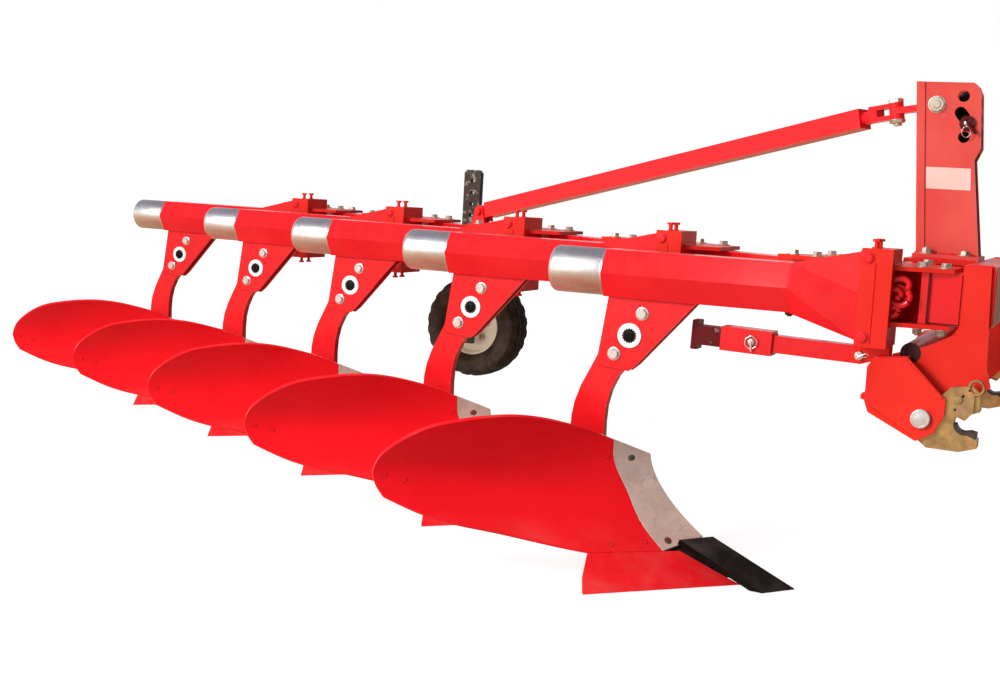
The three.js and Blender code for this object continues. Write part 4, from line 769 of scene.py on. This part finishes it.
def clamp_bolts(k):
    bright, dark = bmesh.new(), bmesh.new()
    places = [on_beam(n, CLAMP_BACK + t) for n, row in CLAMP_ROWS for t in row]
    for i, (x, y) in enumerate(places + (DECK_BOLTS if k == 0 else [])):
        turn = 0.35 * i + k
        bolt(bright, (x, y, CLAMP_TOP), (0, 0, 1), CLAMP_ACROSS, False, turn)
        below = dark if i < len(places) else bright
        bolt(below, (x, y, CLAMP_BOTTOM), (0, 0, -1), CLAMP_ACROSS, True, turn + 0.2)
    link_copy("clamp_bolts", k, bright, ZINC, body="frame")
    link_copy("clamp_nuts", k, dark, DARK_STEEL_AND_SHADE, body="frame")


for k in range(BODIES):
    for make in (plates, plate_bolts, rear_nuts, spring_cover, leg_bolts, leg_cap, arm_welds, head_bosses,
                 head_screws, clamp_bolts):
        make(k)


# Depth wheel: a ribbed tyre with shoulder blocks on a dished rim, as radius and width from its middle
WHEEL = shared(-1.005133, 1.48361, 0.505)
HALF_TYRE = mm((121.2, -53), (129, -57.5), (136, -66), (142, -69), (144, -71.5), (148, -72.2), (150, -73.8),
               (162, -77.5), (178, -79.8), (188, -79), (195, -75), (199, -70.5), (206, -64), (210.5, -56),
               (212.5, -44), (213, -43.5), (207, -42), (207, -35), (213.8, -33.5), (214.5, -15),
               (208.5, -13.5), (208.5, -6.5), (214.8, -5))
TYRE = HALF_TYRE + [(r, -w) for r, w in reversed(HALF_TYRE)]
TYRE_POINTS, LUG_POINTS = 120, 5
SHOULDER_FROM, SHOULDER_EDGE, SHOULDER_CUT = 0.198, 0.0432, 0.004
TREAD_FROM, TREAD_EDGE, TREAD_CUT = 0.2125, 0.036, 0.0024
INNER_RADIUS, INNER_HALF = 0.1203, 0.0525
RIM_PROFILE = mm((15.7, -59.7), (32.5, -59.7), (33.5, -58.5), (33.5, -24), (37, -17), (46, -14), (66, -14),
                 (74, -16.5), (84, -22.5), (98, -23.5), (105, -27), (108.5, -36), (110, -48), (114, -53),
                 (118, -56.5), (119.6, -59.7), (120.2, -59), (120.1, -54.5), (119, -50), (115, -36),
                 (112, -20), (112, 20), (119, 50), (120.2, 56), (120, 59.7), (116, 57), (112, 50),
                 (108, 30), (106, 5), (103, -17), (96, -19.2), (85, -18), (74, -12), (66, -9.5), (44, -9.5),
                 (15.7, -9.5))
WHEEL_BOLTS, BOLT_CIRCLE, BOLT_TURN, BOLT_ACROSS = 5, 0.056, 0.3, 0.017
DISH_FRONT, DISH_BACK = -0.0139, -0.0096
POST_PIN = WHEEL + Vector((0, -0.0896, 0.41))
POST_PIN_HEAD = mm((10.5, 0), (12.5, 1.2), (12.5, 5.2), (10, 7), (7.5, 7.2), (7.5, 16), (6.8, 17), (1, 17))
POST_RING = 0.019


def tyre():
    rings = []
    for r, w in TYRE:
        on_shoulder = abs(w) > SHOULDER_EDGE and r > SHOULDER_FROM
        on_tread = abs(w) < TREAD_EDGE and r > TREAD_FROM
        ring = []
        for i in range(TYRE_POINTS):
            radius = r
            if on_shoulder and i % LUG_POINTS in (0, 1):
                radius -= SHOULDER_CUT
            if on_tread and (i + (2 if w > 0 else 0)) % LUG_POINTS == 0:
                radius -= TREAD_CUT
            x, z = on_circle(radius, i, TYRE_POINTS)
            ring.append(WHEEL + Vector((x, w, z)))
        rings.append(ring)
    for w in (INNER_HALF, -INNER_HALF):
        rings.append([WHEEL + Vector((x, w, z)) for x, z in circle(INNER_RADIUS, TYRE_POINTS)])
    bm = bmesh.new()
    ring_stack(bm, rings, loop=True)
    made = link("tyre_body", bm, "depth_wheel", RUBBER, 32)
    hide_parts("tyre")


def rim():
    bm = bmesh.new()
    lathe(bm, RIM_PROFILE, WHEEL, (0, 1, 0), 72, closed=True)
    made = link("rim_body", bm, "depth_wheel", RIM)
    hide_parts("rim")
    bm = bmesh.new()
    for i in range(WHEEL_BOLTS):
        a = 2 * pi * i / WHEEL_BOLTS + BOLT_TURN
        x, z = BOLT_CIRCLE * cos(a), BOLT_CIRCLE * sin(a)
        bolt(bm, WHEEL + Vector((x, DISH_FRONT, z)), (0, -1, 0), BOLT_ACROSS, True, a)
        bolt(bm, WHEEL + Vector((x, DISH_BACK, z)), (0, 1, 0), BOLT_ACROSS, False, a)
    link("wheel_nuts", bm, "depth_wheel", ZINC)
    bm = bmesh.new()
    a = WHEEL + Vector((0.085, -0.0205, 0.065))
    tube(bm, [a, a + Vector((0, -0.012, 0)), a + Vector((0.001, -0.022, 0.001))], 0.0032, 10)
    link("tyre_valve", bm, "depth_wheel", BLACK, ROUNDED)


def post_pin():
    bm = bmesh.new()
    lathe(bm, POST_PIN_HEAD, POST_PIN, (0, 1, 0), 28)
    ring = [POST_PIN + Vector((x, 0.0115, z - POST_RING)) for x, z in circle(POST_RING, 28)]
    tube(bm, ring, 0.0016, 8, closed=True)
    link("post_pin", bm, "frame", STEEL, ROUNDED)


tyre()
rim()
post_pin()


# Brace and eye bar: bolts that cover the plain CAD ones
MAST_MIDDLE = 0.45
FORK_BOLT, FORK_TILT = shared(0.8253, MAST_MIDDLE, 1.3987), atan2(20, 122)
FORK_WASHER = mm((20, 0), (23.2, 0.3), (23.2, 2.2), (20, 2.6))
FORK_THREAD = mm((12.5, 0), (12.5, 7), (11.2, 8.5), (2, 8.5))
EYE_X, EYE_Z, MAST_FACE = 0.9473, 1.4187, 0.0511
EYE_WASHER = mm((22.5, 0), (25.2, 0.3), (25.2, 2.4), (22.5, 2.8))
EYE_THREAD = mm((12, 0), (12, 2.2), (10.5, 3.2), (2, 3.2))
BRACE_ACROSS = 0.0405


def brace_bolts():
    bm = bmesh.new()
    up = Vector((-sin(FORK_TILT), 0, cos(FORK_TILT)))
    for side in SIDES:
        base, d = FORK_BOLT + up * side * 0.0245, up * side
        lathe(bm, FORK_WASHER, base, d, 30)
        hexagon(bm, base + d * 0.0022, d, BRACE_ACROSS, 0.01, 0.4)
        if side < 0:
            lathe(bm, FORK_THREAD, base + d * 0.0118, d, 20)
    for side in SIDES:
        face, d = shared(EYE_X, MAST_MIDDLE + side * MAST_FACE, EYE_Z), Vector((0, side, 0))
        lathe(bm, EYE_WASHER, face, d, 32)
        hexagon(bm, face + d * 0.0024, d, BRACE_ACROSS, 0.0098, 0.1)
        lathe(bm, EYE_THREAD, face + d * 0.012, d, 20)
    link("brace_bolts", bm, "frame", ZINC)


# Pin of the top link with its head, ring, linch pin and grip
LINK_PIN_X, LINK_PIN_Z = 1.0384, 1.3657
LINK_PIN_NEAR = shared(LINK_PIN_X, 0.3907, LINK_PIN_Z)
LINK_PIN_FAR = shared(LINK_PIN_X, 0.515, LINK_PIN_Z)
LINK_PIN_HEAD = mm((21.5, 0), (21.5, 1.2), (19, 2.8), (10.5, 3.4), (9.5, 7.5), (7, 9), (1, 9.2))
LINK_PIN_COLLAR = mm((22.5, -1), (22.5, 1.6), (20, 4), (11, 4.6), (1, 4.6))
RING_RADIUS, CLIP_STEPS = 0.0155, 14
GRIP_PLACES = (-0.2, 0.2, 0.5, 0.8, 1)
GRIP_FORWARD, GRIP_Y, GRIP_DOWN, GRIP_HEIGHT = 0.026, -0.0085, 0.023 * 1.4, 0.004


def link_pin_details():
    bm = bmesh.new()
    lathe(bm, LINK_PIN_HEAD, LINK_PIN_NEAR, (0, -1, 0), 36)
    hung = -0.01 - RING_RADIUS
    ring = [LINK_PIN_NEAR + Vector((x * 0.8, -0.0075, hung + z)) for z, x in circle(RING_RADIUS, 30)]
    tube(bm, ring, 0.0017, 8, closed=True)
    tube(bm, [LINK_PIN_FAR + Vector((0, 0, z)) for z in (0.022, -0.022)], 0.0024, 10)
    bend = [pi * i / CLIP_STEPS for i in range(CLIP_STEPS + 1)]
    clip = [LINK_PIN_FAR + Vector((0.017 * sin(t), 0.0035, 0.021 * cos(t))) for t in bend]
    tube(bm, clip, 0.0016, 8)
    link("link_pin_clip", bm, "link_pin", STEEL, ROUNDED)
    bm = bmesh.new()
    lathe(bm, LINK_PIN_COLLAR, LINK_PIN_NEAR, (0, -1, 0), 36)
    grip = [LINK_PIN_NEAR + Vector((GRIP_FORWARD * t, GRIP_Y, GRIP_HEIGHT - GRIP_DOWN * t))
            for t in GRIP_PLACES]
    tube(bm, grip, 0.0048, 12)
    link("link_pin_grip", bm, "link_pin", RED_DARK_AND_SHADED, ROUNDED)


# Mast: welds on its foot, foot bolts, a bare plate, and black discs behind its holes and slot that paint the
# shade inside them
FOOT_TOP, DECK_TOP, FOOT_BOLT_SEAT, FOOT_BOLT_ACROSS = 0.9795, 0.9655, 0.9787, 0.024
FOOT_BOLTS = mm((958, 372), (1066, 372), (958, 528), (1066, 528))
BARE_PLATE, BARE_PLATE_Y = mm((937, 1171), (1064, 1171), (1060, 1235), (932, 1235)), 0.399
MAST_HOLES, HOLE_SHADE_Y = mm((1020.8, 1444.8), (1031, 1325.8), (1013.8, 1399.2)), 0.4887
HOLE_SHADE_DISC = mm((21.5, 0), (21.5, 1.8), (19.8, 2.7), (8, 3), (1, 2.8))


def mast_details():
    bm = bmesh.new()
    for y in (0.3985, 0.5015):
        seam(bm, (0.925, y, FOOT_TOP), (1.098, y, FOOT_TOP), 0.0042, y * 7)
    seam(bm, (0.9212, 0.405, FOOT_TOP), (0.9212, 0.495, FOOT_TOP), 0.0042, 5)
    for y in (0.348, 0.552):
        seam(bm, (0.926, y, DECK_TOP), (1.1, y, DECK_TOP), 0.003, y * 9)
    link("mast_welds", bm, "frame", RED, BEADED)
    bm = bmesh.new()
    for i, (x, y) in enumerate(FOOT_BOLTS):
        bolt(bm, shared(x, y, FOOT_BOLT_SEAT), (0, 0, 1), FOOT_BOLT_ACROSS, i % 2 == 0, 0.4 * i)
    link("mast_foot_bolts", bm, "frame", ZINC)
    bm = bmesh.new()
    prism(bm, [shared(x, BARE_PLATE_Y, z) for x, z in BARE_PLATE], (0, -1, 0), 0.0008)
    made = link("blank_plate", bm, "frame", PALE)
    soften(made, 0.0003, 1)
    # Black discs behind the holes and slot: painted shade, so they look dark rather than open
    bm = bmesh.new()
    for x, z in MAST_HOLES:
        lathe(bm, HOLE_SHADE_DISC, shared(x, HOLE_SHADE_Y, z), (0, -1, 0), 32)
    link("hole_shade_discs", bm, "frame", BLACK)


# Headstock: end panel between the clamp plates, dark strips painting the shade in its gaps, dark shaft ends,
# tow bars and welds
PANEL_X, PANEL_FOOT, PANEL_HEIGHT = 1.022, 0.7996, 0.1398
SHAFT_END = mm((28, -0.5), (28, 0.4), (19.5, 0.4), (18.5, -6), (1, -6))
TOW_Y, TOW_SHIFT = -0.0405, 0.004
TOW_BARS = [
    mm((931, 914), (945, 918), (962, 916), (972, 905), (969, 893)),
    mm((971, 884), (977, 872), (973, 857), (960, 847), (944, 846), (931, 852)),
    mm((931, 888), (943, 887), (952, 878), (950, 868), (940, 866)),
    mm((931, 815), (941, 819), (949, 829), (944, 840), (931, 838)),
]


def upright(bm, x0, y0, x1, y1, foot, height):
    outline = [(x0, y0, foot), (x0, y1, foot), (x1, y1, foot), (x1, y0, foot)]
    prism(bm, outline, (0, 0, 1), height, SHIFT)


def headstock_panel():
    bm = bmesh.new()
    upright(bm, PANEL_X, -0.004, 1.1035, 0.004, PANEL_FOOT, PANEL_HEIGHT)
    upright(bm, 0.9985, -0.014, PANEL_X, -0.004, PANEL_FOOT, PANEL_HEIGHT)
    made = link("headstock_panel", bm, "frame", RED)
    soften(made, 0.0012)
    # Thin dark strips in the panel's gaps, painted shade, and the dark shaft ends
    bm = bmesh.new()
    upright(bm, 1.018, -0.0146, 1.0215, -0.0138, 0.802, 0.135)
    upright(bm, 1.024, -0.0045, 1.1015, -0.0038, 0.801, 0.003)
    for side, y in zip(SIDES, (0.001, 0.899)):
        lathe(bm, SHAFT_END, shared(0.9856, y, 0.7157), (0, side, 0), 36)
    link("panel_gap_shade", bm, "frame", GRIME_AND_SHADE)


def head_tow_bars():
    bm = bmesh.new()
    for i, bar in enumerate(TOW_BARS):
        steps = 4 * (len(bar) - 1)
        line = [curve(bar)(j / steps) for j in range(steps + 1)]
        tube(bm, [shared(x, TOW_Y - TOW_SHIFT * (i % 2), z) for x, z in line], 0.0088, 14)
    link("head_tow_bars", bm, "frame", RED, BEADED)


def headstock_welds():
    bm = bmesh.new()
    seam(bm, (1.0225, -0.006, 0.803), (1.0225, -0.006, 0.936), 0.0028, 31)
    for y in (0.0145, 0.8855):
        seam(bm, (1.1035, y, 0.806), (1.1035, y, 0.94), 0.0034, y * 3)
        seam(bm, (1.1865, y, 0.806), (1.1865, y, 0.96), 0.0034, y * 5)
        seam(bm, (1.108, y, 0.965), (1.183, y, 0.965), 0.0034, y * 6)
    for y, seed in ((-0.0545, -0.0545), (0.9545, 0.9)):
        seam(bm, (0.9, y, 0.7), (0.988, y, 0.7095), 0.0026, seed)
    link("headstock_welds", bm, "frame", RED, BEADED)


# Hooks and end plates: bolt caps, marks and pins on the latches, stops, ribs, and dark strips painting the
# shade inside the jaws
HOOK_CAP = mm((26.2, 0), (26.2, 11), (24.8, 12.6), (21.5, 13.4), (20.5, 12.8), (18, 12.8), (12, 14.2),
              (1, 14.6))
HOOK_CAP_FACES, LATCH_FACES = (-0.0672, 0.9672), (-0.063, 0.963)
STOP_STARTS, RIB_FACES, JAW_SHADE_STARTS = (-0.0668, 0.9468), (-0.067, 0.967), (-0.0525, 0.8985)
LATCH_MARKS = [(1.139, 0.62, 0.0042), (1.154, 0.637, 0.0034), (1.121, 0.582, 0.0036)]
LATCH_PIN = mm((11.2, 0.4), (11.2, 3), (9.8, 4.2), (3, 4.8), (1, 4.6))
STOP = mm((872, 584), (872, 597), (877, 602), (896, 602), (900, 596), (900, 562), (892, 562), (888, 580))
RIBS = [((0.978, 0.7), (1.086, 0.606), 0.006), ((0.902, 0.56), (1.012, 0.496), 0.005)]
JAW_X, JAW_Z, JAW_SHADE_OUT, JAW_SHADE_IN = 1.148, 0.5432, 0.0288, 0.0215
JAW_SHADE_START_ANGLE, JAW_SHADE_SWEEP, JAW_SHADE_STEPS = 185, 102, 14
JAW_SHADE_LIP = mm((1179.5, 506.3), (1180, 521.5), (1164, 525))


def hook_details():
    bm = bmesh.new()
    for side, y in zip(SIDES, HOOK_CAP_FACES):
        lathe(bm, HOOK_CAP, shared(1.0355, y, 0.5487), (0, side, 0), 44)
    link("hook_bolt_caps", bm, "frame", CAP_STEEL)

    names = (("latch_r", "latch_marks_right"), ("latch_l", "latch_marks_left"))
    for side, y, (body, name) in zip(SIDES, LATCH_FACES, names):
        bm = bmesh.new()
        for x, z, r in LATCH_MARKS:
            lathe(bm, [(r, -0.0005), (r, 0.0002), (r * 0.2, 0.00025)], shared(x, y, z), (0, side, 0), 20)
        link(name, bm, body, GRIME_AND_SHADE)
    bm = bmesh.new()
    for side, y in zip(SIDES, LATCH_FACES):
        lathe(bm, LATCH_PIN, shared(1.1283, y, 0.6095), (0, side, 0), 28)
    link("latch_pin_heads", bm, "frame", GOLD)


def end_plate_details():
    bm = bmesh.new()
    for y in STOP_STARTS:
        prism(bm, [(x, y, z) for x, z in STOP], (0, 1, 0), 0.02, SHIFT)
    made = link("arm_stops", bm, "frame", RED_LIGHT)
    soften(made, 0.0015)

    bm = bmesh.new()
    for side, y in zip(SIDES, RIB_FACES):
        for start, end, wide in RIBS:
            a, b = Vector(start), Vector(end)
            across = Vector((b - a).yx).normalized() * wide
            across.x = -across.x
            outline = [shared(q.x, y, q.y) for q in (a, b, b + across, a + across)]
            prism(bm, outline if side < 0 else outline[::-1], (0, side, 0), 0.0022)
    made = link("arm_ribs", bm, "frame", RED_LIGHT)
    soften(made, 0.0008, 1)

    # Dark strips along the inside of each hook jaw and its lip: painted shade
    bm = bmesh.new()
    angles = [radians(JAW_SHADE_START_ANGLE + JAW_SHADE_SWEEP * i / JAW_SHADE_STEPS) for i in range(JAW_SHADE_STEPS + 1)]
    outer, inner = ([(JAW_X + r * cos(a), JAW_Z + r * sin(a)) for a in angles]
                    for r in (JAW_SHADE_OUT, JAW_SHADE_IN))
    for low in JAW_SHADE_STARTS:
        prism(bm, [shared(x, low, z) for x, z in outer + JAW_SHADE_LIP + inner[::-1]], (0, 1, 0), 0.05)
    made = link("jaw_liners", bm, "frame", DARK_STEEL_AND_SHADE, ROUNDED)
    soften(made, 0.0008, 1)


# Parking stand: ring pin on the sleeve, clip on the pivot, welds
STAND_TILT = radians(1.5)
RING_PIN_HEAD = mm((8.8, 0), (10, 1), (10, 6), (8, 8), (5, 8.6), (1, 8.8))
RING_CORNERS = mm((0, 19), (17.5, 7), (16.5, -10), (6, -19), (-6, -19), (-16.5, -10), (-17.5, 7))
RING_TAIL = [(0, -0.009, 0.002), (0.001, -0.01, -0.01), (0.003, -0.0095, -0.026)]
PIVOT_HEAD = mm((11.5, 0), (12.2, 0.6), (12.2, 3), (10.5, 4.2), (1, 4.6))
PIVOT_WIRE = mm((-6, 10), (0, 4), (6, -1), (13, -3), (21, -1), (27, 3), (24, 8), (17, 7), (9, 3), (1, 0),
                (-4, -8))
SLEEVE_END, SLEEVE_HALF = -0.249, 0.0262


def on_stand(x, y, z):
    """A place on the stowed stand, counted from its pivot."""
    sine, cosine = sin(STAND_TILT), cos(STAND_TILT)
    return shared(0.847 + x * cosine + z * sine, 0.054 + y, 0.693 - x * sine + z * cosine)


def stand_details():
    bm = bmesh.new()
    pin = on_stand(-0.308, -0.0351, 0)
    lathe(bm, RING_PIN_HEAD, pin, (0, -1, 0), 26)
    loop = []
    for i, (a, b) in enumerate(RING_CORNERS):
        c, d = RING_CORNERS[(i + 1) % len(RING_CORNERS)]
        for t in (0.12, 0.31, 0.5, 0.69, 0.88):
            loop.append(pin + Vector((a + (c - a) * t, -0.0066, b + (d - b) * t)))
    tube(bm, loop, 0.0017, 8, closed=True)
    tube(bm, [pin + Vector(p) for p in RING_TAIL], 0.003, 10)
    link("stand_ring_pin", bm, "stand", ZINC_BRIGHT, ROUNDED)

    bm = bmesh.new()
    end = on_stand(0, -0.0452, 0)
    lathe(bm, PIVOT_HEAD, end, (0, -1, 0), 26)
    tube(bm, [end + Vector((a, -0.0058, b)) for a, b in PIVOT_WIRE], 0.0017, 8)
    link("stand_pivot_clip", bm, "stand", ZINC_BRIGHT, ROUNDED)

    bm = bmesh.new()
    h = SLEEVE_HALF
    corners = [(-h, -h), (-h, h), (h, h), (h, -h), (-h, -h)]
    weld(bm, [on_stand(SLEEVE_END, y, z) for y, z in corners], 0.003, 8)
    link("stand_welds", bm, "stand", RED, BEADED)


# Rear end of the brace: heads of the pin in the beam's lug
LUG_ACROSS, LUG_STEP_SHARE, BEAM_TOP, LUG_HEIGHT = 0.6, 2.533, 0.9398, 0.058
LUG_ALONG = along_at_x(LUG_ACROSS, HEAD_FRONT - STEP * LUG_STEP_SHARE)
BRACE_FOOT = shared(*on_beam(LUG_ACROSS, LUG_ALONG), BEAM_TOP + LUG_HEIGHT)
BRACE_TURN = atan2(0.45 - 1.192, 0.8253 + 0.8706)
BRACE_PIN_HEAD = mm((14, 0), (15.2, 0.8), (15.2, 4), (13.5, 5.2), (1, 5.6))


def brace_rear():
    across = Vector((-sin(BRACE_TURN), cos(BRACE_TURN), 0))
    bm = bmesh.new()
    for side in SIDES:
        lathe(bm, BRACE_PIN_HEAD, BRACE_FOOT + across * side * 0.03, across * side, 28)
    link("brace_pin_heads", bm, "frame", RED_LIGHT)


brace_bolts()
link_pin_details()
mast_details()
headstock_panel()
head_tow_bars()
headstock_welds()
hook_details()
end_plate_details()
stand_details()
brace_rear()


# Camera at the photograph's place
CAMERA_PLACE, CAMERA_TURN = (1.48285, -3.92659, 1.10645), (23.7294, 6.2153, 3.302)
FOCAL_PIXELS, PHOTO_PIXELS, SENSOR = 1392.54, 1000, 36


def make_camera():
    heading, pitch, roll = (radians(a) for a in CAMERA_TURN)
    level = cos(pitch)
    forward = Vector((-sin(heading) * level, cos(heading) * level, -sin(pitch)))
    right = Vector((cos(heading), sin(heading), 0))
    up = right.cross(forward)
    across = cos(roll) * right + sin(roll) * up
    upward = cos(roll) * up - sin(roll) * right
    data = bpy.data.cameras.new("camera")
    data.sensor_fit = "HORIZONTAL"
    data.sensor_width = SENSOR
    data.lens = FOCAL_PIXELS / PHOTO_PIXELS * SENSOR
    cam = put("camera", data)
    matrix = Matrix((across, upward, -forward)).transposed().to_4x4()
    matrix.translation = shared(*CAMERA_PLACE)
    cam.matrix_world = matrix
    bpy.context.scene.camera = cam


# Studio: pale floor, a soft key from the camera's left, dim fill and a dark side in front of the plough
FLOOR_SIZE, FLOOR_DROP = 60, 0.001


def area(name, at, target, size, power):
    data = bpy.data.lights.new(name, "AREA")
    data.shape = "RECTANGLE"
    data.size, data.size_y = size
    data.energy = power
    obj = put(name, data)
    obj.location = at
    obj.rotation_euler = (Vector(target) - Vector(at)).to_track_quat("-Z", "Y").to_euler()
    return obj


def sky_light():
    """Reflections get a bright horizon and a dark sky, scattered light is dim, and the camera sees white."""
    world = bpy.data.worlds.new("studio")
    bpy.context.scene.world = world
    world.use_nodes = True
    tree = world.node_tree
    split = tree.nodes.new("ShaderNodeSeparateXYZ")
    feed(tree, split, Vector=tree.nodes.new("ShaderNodeTexCoord").outputs["Generated"])
    height = maths(tree, "MULTIPLY_ADD", split.outputs["Z"], 0.5, 0.5)
    side = maths(tree, "MULTIPLY_ADD", split.outputs["X"], 0.5, 0.5)
    sky = ramp(tree, height, (0, (0.5, 0.28, 0.17)), (0.38, (0.75, 0.42, 0.26)), (0.475, (0.85, 0.62, 0.45)),
               (0.505, 1), (0.6, 0.95), (0.69, (0.4, 0.38, 0.46)), (1, (0.24, 0.23, 0.29)))
    shade = ramp(tree, side, (0, 1), (0.5, 0.85), (0.78, 0.22), (1, 0.06))
    lit = blend_colours(tree, 1, sky, shade, "MULTIPLY")
    low = ramp(tree, height, (0, 1), (0.45, 0.95), (0.56, 0.66), (1, 0.58))
    dim = blend_colours(tree, 1, shade, low, "MULTIPLY")
    path = tree.nodes.new("ShaderNodeLightPath")
    soft = blend_colours(tree, path.outputs["Is Diffuse Ray"], lit, dim)
    seen = blend_colours(tree, path.outputs["Is Camera Ray"], soft, 1)
    feed(tree, tree.nodes["Background"], Color=seen, Strength=1)


def pale_floor():
    """The floor glows more with distance, so that it fades into the white behind."""
    bm = bmesh.new()
    bmesh.ops.create_grid(bm, x_segments=1, y_segments=1, size=FLOOR_SIZE)
    mesh = bpy.data.meshes.new("floor")
    bm.to_mesh(mesh)
    bm.free()
    floor = put("floor", mesh)
    floor.location = (0, 0, -FLOOR_DROP)
    floor.visible_glossy = False
    floor.visible_diffuse = False
    material, tree, shader = node_tree("pale_floor")
    place = position_of(tree)
    tone = spots(tree, place, 0.8, 3, 0.55, (0.3, 0.22), (0.7, 0.26))
    far = tree.nodes.new("ShaderNodeVectorMath")
    far.operation = "LENGTH"
    feed(tree, far, in0=place)
    reach = maths(tree, "MULTIPLY", far.outputs["Value"], 0.1)
    glow = ramp(tree, reach, (0.2, 0.84), (0.45, 0.97), (0.8, 1))
    feed(tree, shader, Base_Color=tone, Roughness=0.8, Specular_IOR_Level=0.05, Emission_Color=glow,
         Emission_Strength=1)
    mesh.materials.append(material)


make_camera()
bpy.context.scene.view_settings.view_transform = "Standard"
sky_light()
pale_floor()
area("key", (-2.6, -7, 4.2), (0.2, 0, 0.6), (1.8, 1.6), 480)
area("fill", (-0.6, -7.5, 1), (0, 0, 0.5), (3, 2), 180).visible_glossy = False
area("glint", (0.2, -4.6, 6), (0.6, -0.7, 0.9), (0.35, 0.35), 14)
area("top", (0, 0.5, 6), (0.2, 0, 0.5), (6, 3), 110).visible_glossy = False
